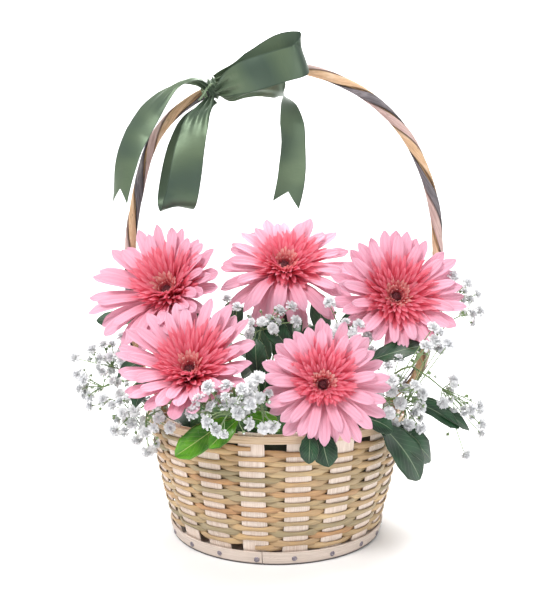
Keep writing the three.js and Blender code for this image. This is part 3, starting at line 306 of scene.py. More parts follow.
class Value:
    """A socket of a finish that takes part in sums as a number does."""

    def __init__(self, finish, socket):
        self.finish = finish
        self.socket = socket

    def sum(self, operation, first, second=0.0):
        settings = {"operation": operation}
        return self.finish.add("ShaderNodeMath", settings, {0: first, 1: second})

    def __add__(self, other):
        return self.sum("ADD", self, other)

    def __radd__(self, other):
        return self.sum("ADD", other, self)

    def __sub__(self, other):
        return self.sum("SUBTRACT", self, other)

    def __rsub__(self, other):
        return self.sum("SUBTRACT", other, self)

    def __mul__(self, other):
        return self.sum("MULTIPLY", self, other)

    def __rmul__(self, other):
        return self.sum("MULTIPLY", other, self)

    def __abs__(self):
        return self.sum("ABSOLUTE", self)

    def sine(self):
        return self.sum("SINE", self)

    def step(self, low, high):
        """0 below low, 1 above high, soft in between."""
        sockets = {"Value": self, "From Min": low, "From Max": high}
        return self.finish.add("ShaderNodeMapRange", {"interpolation_type": "SMOOTHSTEP"}, sockets)


class Finish:
    """One material, built from nodes."""

    def __init__(self, name):
        self.material = bpy.data.materials.new(name)
        self.material.use_nodes = True
        self.tree = self.material.node_tree
        self.tree.nodes.clear()

    def feed(self, socket, value):
        if isinstance(value, Value):
            self.tree.links.new(value.socket, socket)
        else:
            socket.default_value = value

    def add(self, kind, settings, sockets, output=0):
        """Adds a node: its settings first, then the values or links of its sockets."""
        node = self.tree.nodes.new(kind)
        for name, value in settings.items():
            if name == "stops":
                self.set_stops(node.color_ramp, value)
            else:
                setattr(node, name, value)
        for name, value in sockets.items():
            self.feed(node.inputs[name], value)
        return Value(self, node.outputs[output])

    def set_stops(self, ramp, stops):
        while len(ramp.elements) < len(stops):
            ramp.elements.new(0.5)
        for element, (place, code) in zip(ramp.elements, stops):
            element.position = place
            element.color = tone(code)

    def painted(self):
        """The three painted values: across, along and shade."""
        place = self.add("ShaderNodeAttribute", {"attribute_name": "place"}, {}, "Vector")
        return [self.add("ShaderNodeSeparateXYZ", {}, {0: place}, axis) for axis in "XYZ"]

    def vector(self, x, y, z):
        return self.add("ShaderNodeCombineXYZ", {}, {0: x, 1: y, 2: z})

    def body_place(self):
        return self.add("ShaderNodeTexCoord", {}, {}, "Object")

    def noise(self, vector, scale, detail=2.0, roughness=0.5):
        sockets = {"Vector": vector, "Scale": scale, "Detail": detail, "Roughness": roughness}
        return self.add("ShaderNodeTexNoise", {}, sockets)

    def cells(self, vector, scale):
        return self.add("ShaderNodeTexVoronoi", {}, {"Vector": vector, "Scale": scale})

    def ramp(self, at, *stops):
        return self.add("ShaderNodeValToRGB", {"stops": stops}, {0: at})

    def blend(self, share, first, second, how="MIX"):
        first, second = [tone(c) if isinstance(c, str) else c for c in (first, second)]
        settings = {"data_type": "RGBA", "blend_type": how}
        return self.add("ShaderNodeMix", settings, {0: share, 6: first, 7: second}, 2)

    def shine(self, colour, roughness, height=None, depth=0.0003, strength=0.6, constants=None,
              glow=None):
        """Closes the finish. `depth` is the relief's depth in metres, and `glow` the colour
        that shines through, with its share."""
        shader = self.tree.nodes.new("ShaderNodeBsdfPrincipled")
        self.feed(shader.inputs["Base Color"], colour)
        self.feed(shader.inputs["Roughness"], roughness)
        for name, value in (constants or {}).items():
            shader.inputs[name].default_value = value
        if height:
            sockets = {"Strength": strength, "Distance": depth, "Height": height}
            relief = self.add("ShaderNodeBump", {}, sockets)
            self.feed(shader.inputs["Normal"], relief)
        last = Value(self, shader.outputs[0])
        if glow:
            through = self.add("ShaderNodeBsdfTranslucent", {}, {"Color": tone(glow[0])})
            last = self.add("ShaderNodeMixShader", {}, {0: glow[1], 1: last, 2: through})
        end = self.tree.nodes.new("ShaderNodeOutputMaterial")
        self.feed(end.inputs["Surface"], last)
        return self.material


def splint_finish(name, pale, dark, roughness=0.62):
    """Split wood: painted values are millimetres across and along the strip."""
    finish = Finish(name)
    across, along, shade = finish.painted()
    fibres = finish.noise(finish.vector(across * 2.6, along * 0.045, shade * 40), 1.0, 4.0, 0.65)
    clouds = finish.noise(finish.vector(across * 0.1, along * 0.05, shade * 17), 1.0, 2.0)
    marks = finish.noise(finish.vector(across * 1.2, along * 0.5, shade * 23), 1.0, 3.0, 0.7)
    grain = fibres.step(0.3, 0.7)
    wood = finish.blend(grain, dark, pale)
    wood = finish.blend(clouds.step(0.35, 0.75) * 0.35, wood, "efe0d6", "MULTIPLY")
    wood = finish.blend(marks.step(0.66, 0.78) * 0.45, wood, "8d7668")
    wood = finish.blend(shade * 0.25, wood, "e3d2c0", "MULTIPLY")
    return finish.shine(wood, roughness + 0.15 * (1 - grain), fibres, depth=0.0004, strength=0.5)


def cane_finish():
    """Split cane: across is from -1 to 1, along is millimetres, shade picks its colour."""
    finish = Finish("cane")
    across, along, shade = finish.painted()
    fibres = finish.noise(finish.vector(across * 6, along * 0.06, shade * 31), 1.0, 4.0, 0.6)
    clouds = finish.noise(finish.vector(across * 0.6, along * 0.07, shade * 19), 1.0, 2.0)
    picked = finish.ramp(
        shade, (0.0, "b0936f"), (0.16, "c2a57c"), (0.32, "9a8e70"), (0.46, "c9ae85"),
        (0.6, "b68a60"), (0.74, "c1a278"), (0.88, "9c8d6c"), (1.0, "cbb28c"),
    )
    cane = finish.blend(fibres.step(0.35, 0.7) * 0.38, picked, "8a6a42", "MULTIPLY")
    cane = finish.blend(clouds.step(0.45, 0.75) * 0.5, cane, "eddcc2", "SOFT_LIGHT")
    # The cane darkens towards both edges. This is partly painted shade in the gaps between the
    # strands and the stakes, and partly the cane's own darker tint at its tapered edges.
    edge = abs(across).step(0.72, 1.0)
    cane = finish.blend(edge * 0.55, cane, "8c6a48", "MULTIPLY")
    return finish.shine(cane, 0.42 + 0.2 * fibres, fibres, depth=0.0003, strength=0.45,
                        constants={"Coat Weight": 0.12, "Coat Roughness": 0.35})


def hoop_finish():
    finish = Finish("hoop_wood")
    across, along, shade = finish.painted()
    fibres = finish.noise(finish.vector(across * 2.2, along * 0.035, shade), 1.0, 4.0, 0.65)
    marks = finish.noise(finish.vector(across * 0.9, along * 0.2, shade + 5), 1.0, 3.0, 0.6)
    wood = finish.blend(fibres.step(0.3, 0.72), "c6b6a9", "dfd0c5")
    wood = finish.blend(marks.step(0.6, 0.76) * 0.4, wood, "9c8376")
    # Painted shadow: the lowest millimetre or two of the hoop turns almost black where it stands
    # on the floor.
    foot = 1 - across.step(0.9, 1.7)
    wood = finish.blend(foot * 0.95, wood, "3a3436")
    return finish.shine(wood, 0.62, fibres, depth=0.0004, strength=0.5)


def metal_finish():
    finish = Finish("nail_iron")
    spots = finish.noise(finish.body_place(), 900.0, 3.0)
    iron = finish.blend(spots.step(0.4, 0.65), "77707a", "a39aa0")
    return finish.shine(iron, 0.35 + 0.3 * spots, spots, depth=0.0002, strength=0.4,
                        constants={"Metallic": 0.75})


def bark_finish(name, dark, pale, scar):
    """Bark strip: millimetres across and along."""
    finish = Finish(name)
    across, along, shade = finish.painted()
    fibres = finish.noise(finish.vector(across * 1.6, along * 0.06, shade * 9), 1.0, 5.0, 0.7)
    patches = finish.noise(finish.vector(across * 0.14, along * 0.045, shade * 5), 1.0, 3.0, 0.6)
    scars = finish.cells(finish.vector(across * 0.35, along * 0.09, shade), 1.0)
    bark = finish.blend(fibres.step(0.3, 0.7), dark, pale)
    bark = finish.blend(patches.step(0.5, 0.72) * 0.55, bark, scar)
    bark = finish.blend((1 - scars.step(0.05, 0.16)) * 0.6, bark, "3c332e")
    edge = abs(across).step(2.5, 3.4)
    bark = finish.blend(edge * 0.6, bark, "4a3b33", "MULTIPLY")
    relief = fibres + scars * 0.4
    return finish.shine(bark, 0.55 + 0.25 * patches, relief, depth=0.0006, strength=0.6)


def satin_finish():
    """Satin: across is from -1 to 1 between the woven edges, along is millimetres."""
    finish = Finish("green_satin")
    across, along, shade = finish.painted()
    weft = finish.noise(finish.vector(across * 1.3, along * 9, 0.0), 1.0, 2.0)
    warp = finish.noise(finish.vector(across * 60, along * 0.12, 0.0), 1.0, 3.0)
    # The broad light and dark clouds along the ribbon are painted reflection and painted shade:
    # bands of satin sheen and of shadow in its colour.
    clouds = finish.noise(finish.vector(across * 0.2, along * 0.03, shade + 3.0), 1.0, 1.5)
    cloth = finish.ramp(clouds, (0.34, "3d4a43"), (0.5, "4a5848"), (0.64, "586650"))
    cloth = finish.blend(weft.step(0.35, 0.65) * 0.3, cloth, "3c4b3f")
    edge = abs(across).step(0.93, 0.97)
    cloth = finish.blend(edge * 0.8, cloth, "2c3833")
    threads = weft * 0.6 + warp * 0.4 + edge * 0.8
    constants = {"Sheen Weight": 0.15, "Sheen Roughness": 0.35, "Sheen Tint": tone("a9c2a4"),
                 "Specular IOR Level": 0.9, "Specular Tint": tone("b8cfae")}
    return finish.shine(cloth, 0.29 + 0.1 * weft + 0.2 * edge, threads, depth=0.00012,
                        strength=0.35, constants=constants)


def tie_finish():
    finish = Finish("tie_paper")
    across, along, shade = finish.painted()
    twist = (along * 160 + across * 3.14).sine()
    paper = finish.blend(twist.step(-0.6, 0.8), "7f9a78", "b6cba6")
    return finish.shine(paper, 0.55, twist, depth=0.0004, strength=0.6)


def ray_finish():
    """Outer petals: across from -1 to 1, along from 0 at the root to 1 at the tip."""
    finish = Finish("ray_pink")
    across, along, shade = finish.painted()
    veins = finish.noise(finish.vector(across * 7, along * 0.8, shade * 50), 1.0, 2.0, 0.6)
    clouds = finish.noise(finish.vector(across * 0.8, along * 2.2, shade * 33), 1.0, 2.0)
    length = along + (clouds - 0.5) * 0.25
    pink = finish.ramp(length, (0.0, "cb6078"), (0.3, "df899d"), (0.55, "e59eb2"),
                       (0.8, "e2a6bb"), (1.0, "d8a8bc"))
    pink = finish.blend(veins.step(0.45, 0.75) * 0.32, pink, "dc8299")
    pink = finish.blend(shade * 0.35, pink, "eab4c7")
    fold = 1 - abs(abs(across) - 0.36).step(0.0, 0.12)
    pink = finish.blend(fold * 0.25, pink, "d67f97")
    relief = veins * 0.5 - fold * 0.8
    return finish.shine(pink, 0.5, relief, depth=0.0004, strength=0.5,
                        constants={"Specular IOR Level": 0.3}, glow=("e3a0b2", 0.14))


def floret_finish():
    """Inner florets, coral at the root and paler at the tip."""
    finish = Finish("floret_coral")
    across, along, shade = finish.painted()
    veins = finish.noise(finish.vector(across * 4, along, shade * 50), 1.0, 2.0, 0.6)
    coral = finish.ramp(along, (0.0, "c24c62"), (0.4, "df6379"), (0.75, "e97e94"),
                        (1.0, "f0a9b7"))
    coral = finish.blend(shade * 0.4, coral, "e46a7b")
    coral = finish.blend(veins.step(0.5, 0.8) * 0.3, coral, "c94e62")
    return finish.shine(coral, 0.5, veins, depth=0.0003, strength=0.4,
                        constants={"Sheen Weight": 0.1}, glow=("f0748c", 0.5))


def disc_finish():
    """Small curled florets round the eye: cream lips on salmon tubes."""
    finish = Finish("disc_salmon")
    across, along, shade = finish.painted()
    salmon = finish.ramp(along, (0.0, "cc6474"), (0.4, "e87f8b"), (0.66, "f2aaa6"),
                         (0.88, "fbe6da"))
    salmon = finish.blend(shade * 0.4, salmon, "e8788a")
    return finish.shine(salmon, 0.5, constants={"Sheen Weight": 0.1}, glow=("f0868c", 0.55))


def eye_finish():
    finish = Finish("eye_maroon")
    grains = finish.cells(finish.body_place(), 900.0)
    maroon = finish.blend(grains.step(0.1, 0.6), "2a0d12", "6a2530")
    return finish.shine(maroon, 0.6, grains, depth=0.0006, strength=0.7)


def stem_finish(name, dark, pale):
    finish = Finish(name)
    across, along, shade = finish.painted()
    ribs = finish.noise(finish.vector(across * 5, along * 6, shade * 9), 1.0, 3.0, 0.6)
    spots = finish.noise(finish.body_place(), 320.0, 3.0)
    green = finish.blend(ribs.step(0.3, 0.7), dark, pale)
    green = finish.blend(spots.step(0.55, 0.75) * 0.35, green, "a9b77c")
    return finish.shine(green, 0.5, ribs + spots * 0.5, depth=0.0005, strength=0.5,
                        constants={"Sheen Weight": 0.2, "Sheen Roughness": 0.4})


def leaf_finish(name, dark, mid, pale, rough):
    """Glossy leaf: across from -1 to 1, along from 0 to 1."""
    finish = Finish(name)
    across, along, shade = finish.painted()
    side = abs(across)
    veins = ((along * 9 - side * 3 + shade * 3) * math.tau).sine().step(0.86, 1.0)
    cells = finish.noise(finish.body_place(), 260.0, 3.0, 0.6)
    clouds = finish.noise(finish.vector(across, along * 2, shade * 30), 1.2, 2.0)
    green = finish.blend(clouds.step(0.3, 0.72), dark, mid)
    green = finish.blend(veins * 0.1, green, pale)
    green = finish.blend(cells.step(0.5, 0.75) * 0.25, green, dark)
    rib = 1 - side.step(0.01, 0.05)
    rim = side.step(0.95, 0.99)
    green = finish.blend(rib * 0.6 + rim * 0.55, green, pale)
    relief = cells * 0.35 - veins * 0.4 - rib
    constants = {"Specular IOR Level": 0.4, "Coat Weight": 0.08, "Coat Roughness": 0.15}
    return finish.shine(green, rough + 0.12 * cells, relief, depth=0.0004, strength=0.45,
                        constants=constants)


def petal_white_finish():
    """Gypsophila: white petals, greenish grey at the root, which is partly their own green and
    partly painted shade.
    """
    finish = Finish("gypsophila_white")
    across, along, shade = finish.painted()
    # The greenish grey towards the root is partly the blossom's own green heart and partly painted
    # shade deep between the petals.
    white = finish.ramp(along, (0.0, "bcc3b8"), (0.22, "d9dcda"), (0.6, "ebebed"), (1.0, "f5f5f7"))
    white = finish.blend(shade * 0.25, white, "d6d8e0")
    veins = finish.noise(finish.vector(across * 5, along * 2, shade * 40), 1.0, 2.0)
    return finish.shine(white, 0.6, veins, depth=0.0002, strength=0.3, glow=("e6e8e6", 0.26))


def foam_finish():
    finish = Finish("wet_foam")
    fine = finish.cells(finish.body_place(), 700.0)
    coarse = finish.noise(finish.body_place(), 90.0, 4.0, 0.6)
    green = finish.blend(fine.step(0.1, 0.6), "24421f", "3f6a35")
    green = finish.blend(coarse.step(0.4, 0.7) * 0.5, green, "1d3319")
    return finish.shine(green, 0.9, fine + coarse, depth=0.0012, strength=0.9)


def liner_finish():
    finish = Finish("liner_film")
    creases = finish.noise(finish.body_place(), 60.0, 3.0, 0.6)
    green = finish.blend(creases.step(0.35, 0.65), "18251a", "2b3c2a")
    return finish.shine(green, 0.3 + 0.2 * creases, creases, depth=0.002, strength=0.5)


def floor_finish():
    finish = Finish("pale_floor")
    dust = finish.noise(finish.body_place(), 6.0, 2.0)
    white = finish.blend(dust, "f6f6f6", "f9f9f9")
    return finish.shine(white, 0.75)


# Basket

def wall_radius(z):
    return FOOT_RADIUS + FLARE * (1 - max(1 - z / WALL_HEIGHT, 0) ** FLARE_POWER)


def wall_lean(z):
    """How far the wall moves out for each millimetre of height."""
    return (wall_radius(z + 1) - wall_radius(z - 1)) / 2


def stake_form():
    form = Form()
    for number in range(STAKES):
        bearing = FIRST_STAKE + number * STAKE_STEP + between(-0.4, 0.4)
        shade = random.random()
        top = STAKE_TOP - between(0, 1.6)
        slant = between(-0.8, 0.8)
        rows = []
        count = 26
        for level in range(count):
            share = level / (count - 1)
            width = STAKE_WIDTH + 0.5 * math.sin(share * 9 + number * 2.1)
            row = []
            for face in (1, -1):
                for step in range(7):
                    side = face * (2 * step / 6 - 1)
                    z = mix(2, top + slant * side, share)
                    away = math.degrees(side * width / 2 / wall_radius(z))
                    edge = 0.55 if abs(side) == 1 else 1
                    radius = wall_radius(z) + face * edge * STAKE_THICKNESS / 2
                    paint = (side * width / 2, z, shade)
                    row.append(form.corner(around(radius, bearing + away, z), paint))
            rows.append(row)
        form.grid(rows, ring=True)
        form.face(tuple(rows[0]))
        form.face(tuple(reversed(rows[-1])))
    return form


def base_form():
    """The round board under the basket that carries the stakes."""
    form = Form()
    radius = FOOT_RADIUS + 1
    profile = [(0.5, 0.6), (40, 0.6), (radius - 1, 0.6), (radius, 1.4), (radius, 5),
               (radius - 1, 5.5), (40, 5.5), (0.5, 5.5)]
    rows = form.lathe(profile, 76, 0.3)
    form.face(tuple(rows[0]))
    form.face(tuple(reversed(rows[-1])))
    return form


def weave_form():
    """One cane that winds up the wall, over one stake and under the next."""
    form = Form()
    steps = 14
    crossings = ROWS * STAKES
    shades = [random.random() for _ in range(crossings // 2 + 2)]
    lifts = [between(-0.4, 0.4) for _ in shades]
    sizes = [between(0.86, 1.12) for _ in shades]
    rows = []
    for station in range(crossings * steps + 1):
        crossing = station / steps
        pick = int((crossing + 1) // 2)
        away = abs(crossing - 2 * round(crossing / 2))
        bearing = FIRST_STAKE + crossing * STAKE_STEP
        over = 1 - smooth(HALF_STAKE - 0.17, 1 - HALF_STAKE + 0.17, away)
        shown = 1 - smooth(0.5, 1, away)
        z = FIRST_ROW + ROW_PITCH * crossing / STAKES + lifts[pick] * shown
        out = mix(-CANE_RISE - 0.4, CANE_RISE, over)
        out += 0.25 * math.sin(crossing * 5.3) * (1 - over) - CANE_INSET
        height = read_stops(CANE_HEIGHTS, away) * mix(1, sizes[pick], shown)
        tilt = 0.16 * math.sin(crossing * 1.7 + 0.4) * shown + 0.9 * (1 - over) * over
        row = []
        for up, thick in CANE_SECTION:
            rise = up * height / 2
            radius = wall_radius(z) + out + rise * (wall_lean(z) - tilt)
            radius += thick * CANE_THICKNESS / 2
            paint = (up, bearing * 1.6, shades[pick])
            row.append(form.corner(around(radius, bearing, z + rise), paint))
        rows.append(row)
    form.grid(rows, ring=True)
    form.face(tuple(rows[0]))
    form.face(tuple(reversed(rows[-1])))
    return form


def flat_hoop(form, radii, heights, thickness, seam, gap, wobble, shade):
    """A strip bent into a hoop whose ends meet at a bearing, with a small gap in degrees."""
    count = 200
    (low_radius, high_radius), (low, high) = radii, heights
    soft = min(0.4, thickness / 3)
    section = []
    for share in (0, 0.04, 0.3, 0.5, 0.7, 0.96, 1):
        section.append((share, thickness if 0 < share < 1 else thickness - soft))
    for share in (1, 0.5, 0):
        section.append((share, 0 if 0 < share < 1 else soft))
    rows = []
    for station in range(count + 1):
        share = station / count
        bearing = seam + (360 - gap) * share
        drift = wobble * math.sin(share * 19) + 0.6 * wobble * math.sin(share * 41 + 1)
        row = []
        for up, thick in section:
            # A hoop that stands on the floor keeps its lower edge level
            z = mix(low, high, up) + (drift * 0.8 if low > 1 else drift * 0.5 * up)
            radius = mix(low_radius, high_radius, up) + thick + drift * 0.4
            row.append(form.corner(around(radius, bearing, z), (z - low, bearing * 1.5, shade)))
        rows.append(row)
    form.grid(rows, ring=True)
    form.face(tuple(rows[0]))
    form.face(tuple(reversed(rows[-1])))


def foot_hoop_form():
    """The hoop clears the outer corners of the stakes, and is nailed to each of them."""
    form = Form()
    low, high = [math.hypot(wall_radius(z) + 0.6, STAKE_WIDTH / 2) + 0.2 for z in (0, HOOP_HEIGHT)]
    flat_hoop(form, (low, high), (0, HOOP_HEIGHT), HOOP_THICKNESS, HOOP_SEAM, HOOP_GAP, 0.12, 0.4)
    face = (low + high) / 2 + HOOP_THICKNESS
    for number in range(STAKES):
        bearing = FIRST_STAKE + number * STAKE_STEP + between(-0.7, 0.7)
        nail_head(form, around(face, bearing, HOOP_HEIGHT * between(0.42, 0.54)), bearing)
    return form


def nail_head(form, spot, bearing):
    """A round head with a dimple, in the second finish of the hoop."""
    out = around(1, bearing, 0)
    place = Matrix.Translation(spot) @ out.to_track_quat("Z", "Y").to_matrix().to_4x4()
    place = place @ Matrix.Rotation(random.random() * 1.5, 4, "Z")
    profile = [(1.95, -0.6), (2.0, 0.2), (1.7, 0.55), (1.0, 0.72), (0.75, 0.5), (0.1, 0.55)]
    rows = form.lathe(profile, 8, 0.5, place, finish=1)
    form.face(tuple(reversed(rows[-1])), 1)


def rim_form(radius, seam, shade):
    """A cane strip that leans with the wall."""
    form = Form()
    lean = 0.4 * wall_lean((RIM_LOW + RIM_HIGH) / 2) * (RIM_HIGH - RIM_LOW)
    flat_hoop(form, (radius, radius + lean), (RIM_LOW, RIM_HIGH), RIM_THICKNESS, seam, 0, 0.3,
              shade)
    return form


def liner_form():
    form = Form()
    outside = [(0.5, 5.8), (58, 5.8), (67, 12), (71.5, 30), (76, 50), (79, 68), (82, 86)]
    inside = [(81, 86.4), (78, 68), (75, 50), (70, 30), (66, 13), (57, 7), (0.5, 7)]
    rows = []
    for radius, z in outside + inside:
        row = []
        for side in range(72):
            bearing = side * 5
            ripple = 0.4 * math.sin(side * 1.9) * smooth(40, 86, z)
            row.append(form.corner(around(radius + ripple, bearing, z), (side, z, 0)))
        rows.append(row)
    form.grid(rows, ring=True)
    return form


def foam_form():
    form = Form()
    profile = [(0.5, 7.4), (56, 7.4), (64, 13.5), (67, 30), (69, 50), (69, 84), (68, 88),
               (64, 91), (57, 94), (45, 94.6), (30, 95.3), (15, 95.8), (0.5, 96)]
    rows = []
    for radius, z in profile:
        row = []
        for side in range(72):
            chip = 0.5 * math.sin(side * 2.3 + z) + 0.3 * math.sin(side * 5.1 + radius)
            spot = around(max(radius + chip * (radius > 60), 0.5), side * 5, z - abs(chip) * 0.4)
            row.append(form.corner(spot, (0, 0, 0)))
        rows.append(row)
    form.grid(rows, ring=True)
    form.face(tuple(rows[0]))
    form.face(tuple(reversed(rows[-1])))
    return form


# Handle

RIGHT_FOOT = FIRST_STAKE + 5.5 * STAKE_STEP
LEFT_FOOT = FIRST_STAKE - 4.5 * STAKE_STEP
FOOT_STOPS = [(80, 24), (86.5, 50), (91.5, 75), (92.2, 88), (92.6, 94.5), (97, 101.5)]
HOOP_STOPS = [
    (107, 7, 109), (117, 6, 124), (124, 5, 148), (131, 4, 183), (131, 3, 217), (128.5, 2, 250),
    (120.4, 1, 281), (104.6, 0, 312.5), (80, 0, 339), (55.8, 0, 354), (25.9, 0, 365),
    (0, 0, 366), (-28, 0, 360), (-55.7, 0, 347.5), (-70.3, 0, 339), (-85.6, 1, 327),
    (-99.4, 2, 309), (-108.3, 4, 285), (-115.5, 6, 254), (-119.5, 8, 225), (-120, 9, 190),
    (-117.5, 9.5, 155), (-112.5, 9.5, 125), (-106, 9, 109),
]
HANDLE = Route([
    *[around(radius, RIGHT_FOOT, z) for radius, z in FOOT_STOPS],
    *HOOP_STOPS,
    *[around(radius, LEFT_FOOT, z) for radius, z in reversed(FOOT_STOPS)],
])
KNOT_SHARE = HANDLE.nearest(KNOT_NEAR)
KNOT = HANDLE.at(KNOT_SHARE)
KNOT_WAY = HANDLE.way(KNOT_SHARE)


def core_form():
    form = Form()
    count = 220
    centres = [HANDLE.at(step / count) for step in range(count + 1)]
    radii = [CORE_RADIUS * (1 + 0.06 * math.sin(step * 0.7)) for step in range(count + 1)]
    form.tube(centres, radii, 12, 0.5, closed=True)
    # The bark finish reads millimetres along, the second of the three painted values
    form.paint[1::3] = [share * HANDLE.length for share in form.paint[1::3]]
    return form


def turns_at(along):
    for (low, first), (high, last) in zip(STRIP_TURNS, STRIP_TURNS[1:]):
        if along <= high:
            return mix(first, last, (along - low) / (high - low))
    return last


def strip_form(number):
    """A strip of bark, hollow towards the core, that winds slowly round it."""
    form = Form()
    count = 300
    section = [(-1, -0.1), (-0.92, 0.75), (-0.5, 1), (0, 1.08), (0.5, 1), (0.92, 0.75), (1, -0.1),
               (0.5, 0), (0, 0), (-0.5, 0)]
    rows = []
    for station in range(count + 1):
        along = station / count
        share = mix(*STRIP_REACH, along)
        way = HANDLE.way(share)
        centre = HANDLE.at(share)
        sideways = (Vector((0, 1, 0)) - way * way.y).normalized()
        outward = sideways.cross(way)
        millimetres = share * HANDLE.length
        wave = math.sin(millimetres * 0.05 + number * 2)
        wave += 0.6 * math.sin(millimetres * 0.13 + number)
        turn = math.tau * (number / 3 + 0.75 + turns_at(along)) + 0.08 * wave
        end = min(along, 1 - along) * count
        width = STRIP_WIDTH * (1 + 0.1 * wave) * min(1, 0.15 + 0.05 * end)
        swell = 0.35 * max(0, math.sin(millimetres * 0.021 + number * 1.3)) ** 8
        row = []
        for side, thick in section:
            away = side * width / 2 / STRIP_RADIUS
            radius = STRIP_RADIUS - 0.45 + thick * STRIP_THICKNESS + 0.12 * wave + swell
            radius += 0.3 * abs(side) ** 3
            spoke = sideways * math.sin(turn + away) + outward * math.cos(turn + away)
            paint = (side * width / 2, millimetres, number * 0.37)
            row.append(form.corner(centre + spoke * radius, paint))
        rows.append(row)
    form.grid(rows, ring=True)
    form.face(tuple(rows[0]))
    form.face(tuple(reversed(rows[-1])))
    return form


def bark_band(form, line, across, width, thickness, shade, closed=False):
    """A flat band of bark along a line of points, with a domed outer face."""
    section = [(-1, -0.2), (-0.85, 0.6), (0, 1), (0.85, 0.6), (1, -0.2), (0, -0.3)]
    count = len(line)
    rows = []
    for number, centre in enumerate(line):
        last = line[number - 1] if closed or number else line[0]
        after = line[(number + 1) % count] if closed or number < count - 1 else line[-1]
        way = (after - last).normalized()
        wide = (across[number] - way * across[number].dot(way)).normalized()
        out = way.cross(wide)
        row = []
        for side, thick in section:
            spot = centre + wide * side * width / 2 + out * thick * thickness * 0.6
            row.append(form.corner(spot, (side * width / 2, number * 1.5, shade)))
        rows.append(row)
    form.grid(rows, ring=True, loop=closed)
    if not closed:
        form.face(tuple(rows[0]))
        form.face(tuple(reversed(rows[-1])))


def lashing_loop(form, bearing, side, lean, shade):
    """One turn of bark round both rim bands, on one side of the core."""
    corners = [(LASHING_INSIDE, LASHING_HIGH), (LASHING_OUTSIDE, LASHING_HIGH),
               (LASHING_OUTSIDE, LASHING_LOW), (LASHING_INSIDE, LASHING_LOW)]
    sideways = around(1, bearing + 90, 0)
    line = []
    for number, (radius, z) in enumerate(corners):
        (r0, z0), (r1, z1) = corners[number - 1], corners[(number + 1) % 4]
        slide = side + (lean if z == LASHING_HIGH else -lean)
        if abs(side) < 4 and radius == LASHING_INSIDE:
            slide = side + math.copysign(1.6, side)
        blunt = (mix(radius, LASHING_MIDDLE[0], 0.03), mix(z, LASHING_MIDDLE[1], 0.08))
        spots = [(mix(radius, r0, 0.12), mix(z, z0, 0.12)), blunt,
                 (mix(radius, r1, 0.12), mix(z, z1, 0.12))]
        line += [around(r, bearing, h) + sideways * slide for r, h in spots]
    bark_band(form, line, [sideways] * len(line), 3.0, 0.9, shade, closed=True)


def lashing_cross(form, bearing, turn, shade):
    """A strip of bark that slants over the outer rim band, in front of the core."""
    sideways = around(1, bearing + 90, 0)
    line = []
    for step in range(7):
        share = step / 6
        z = mix(LASHING_HIGH - 0.6, LASHING_LOW + 0.6, share)
        bulge = 1.26 * math.sin(math.pi * share)
        spot = around(LASHING_OUTSIDE + bulge + 0.3 * turn, bearing, z)
        line.append(spot + sideways * mix(-5.4, 5.4, share) * turn)
    bark_band(form, line, [UP] * len(line), 3.4, 1.0, shade)


def lashing_form(bearing, shade):
    """Bark wound over both rim bands on each side of the core, and crossed in front of it."""
    form = Form()
    for side, lean in ((-5.2, 0.6), (-2.9, -0.5), (3.1, 0.5), (5.4, -0.6)):
        lashing_loop(form, bearing, side, lean, shade)
    for turn in (-1, 1):
        lashing_cross(form, bearing, turn, shade + 0.3)
    return form


# Bow

# Each ribbon: its middle line as steps from the knot, the way its width lies, and how wide it
# is pulled out there
LOOP = {
    "route": [
        (1.4, -9.2, 4.4), (8, -10.4, 6), (20, -11, 8.5), (38, -11, 18), (56, -11, 28),
        (67.5, -12.5, 28.5), (71.5, -18, 22), (68.5, -26, 15), (55, -31, 9.5), (38, -32, 4),
        (20, -27, -0.5), (8, -17, -3.5), (2.8, -8.5, -4.6),
    ],
    "across": [
        (-0.3, -0.2, 0.9), (-0.35, -0.15, 0.92), (-0.35, -0.1, 0.92), (-0.35, -0.1, 0.92),
        (-0.35, -0.15, 0.92), (-0.3, -0.2, 0.9),
    ],
    "widths": [7, 17, 23.5, 25, 25, 25, 25, 25, 25, 24, 18, 7],
}
HANGING_LOOP = {
    "route": [
        (-1.6, -5, -8.6), (-5.2, -13, -16.5), (-10.5, -20, -27), (-16, -24, -50),
        (-20, -24, -75), (-24, -22, -93), (-28, -17, -97.5), (-31, -12, -93), (-29.5, -9, -75),
        (-24, -8, -50), (-15, -6, -27), (-5, 0, -14), (0.8, 2.2, -9.8),
    ],
    "across": [
        (0.9, -0.1, 0.4), (0.95, -0.25, 0.1), (0.98, 0, 0.1), (0.98, 0, 0.1), (0.95, 0.1, 0.1),
        (0.9, 0, 0.4),
    ],
    "widths": [6, 17, 22.5, 24.5, 24.9, 25, 25, 25, 24.9, 24.5, 22, 16, 6],
}
LEFT_TAIL = {
    "route": [
        (-4.6, -9.3, -2), (-12, -12, 2), (-21, -15, 1.5), (-31, -18, -4), (-46, -22, -21),
        (-60, -24, -46), (-67, -25, -68), (-71, -26, -96),
    ],
    "across": [
        (0.3, -0.5, 0.8), (0.1, -0.93, -0.2), (0.56, -0.73, -0.39), (0.74, -0.52, -0.41),
        (0.85, -0.42, -0.33), (0.8, -0.55, -0.2), (0.72, -0.68, -0.1), (0.65, -0.75, -0.05),
    ],
    "widths": [7, 17, 22.5, 24.5, 24.9, 25, 25],
    "notch": 12,
}
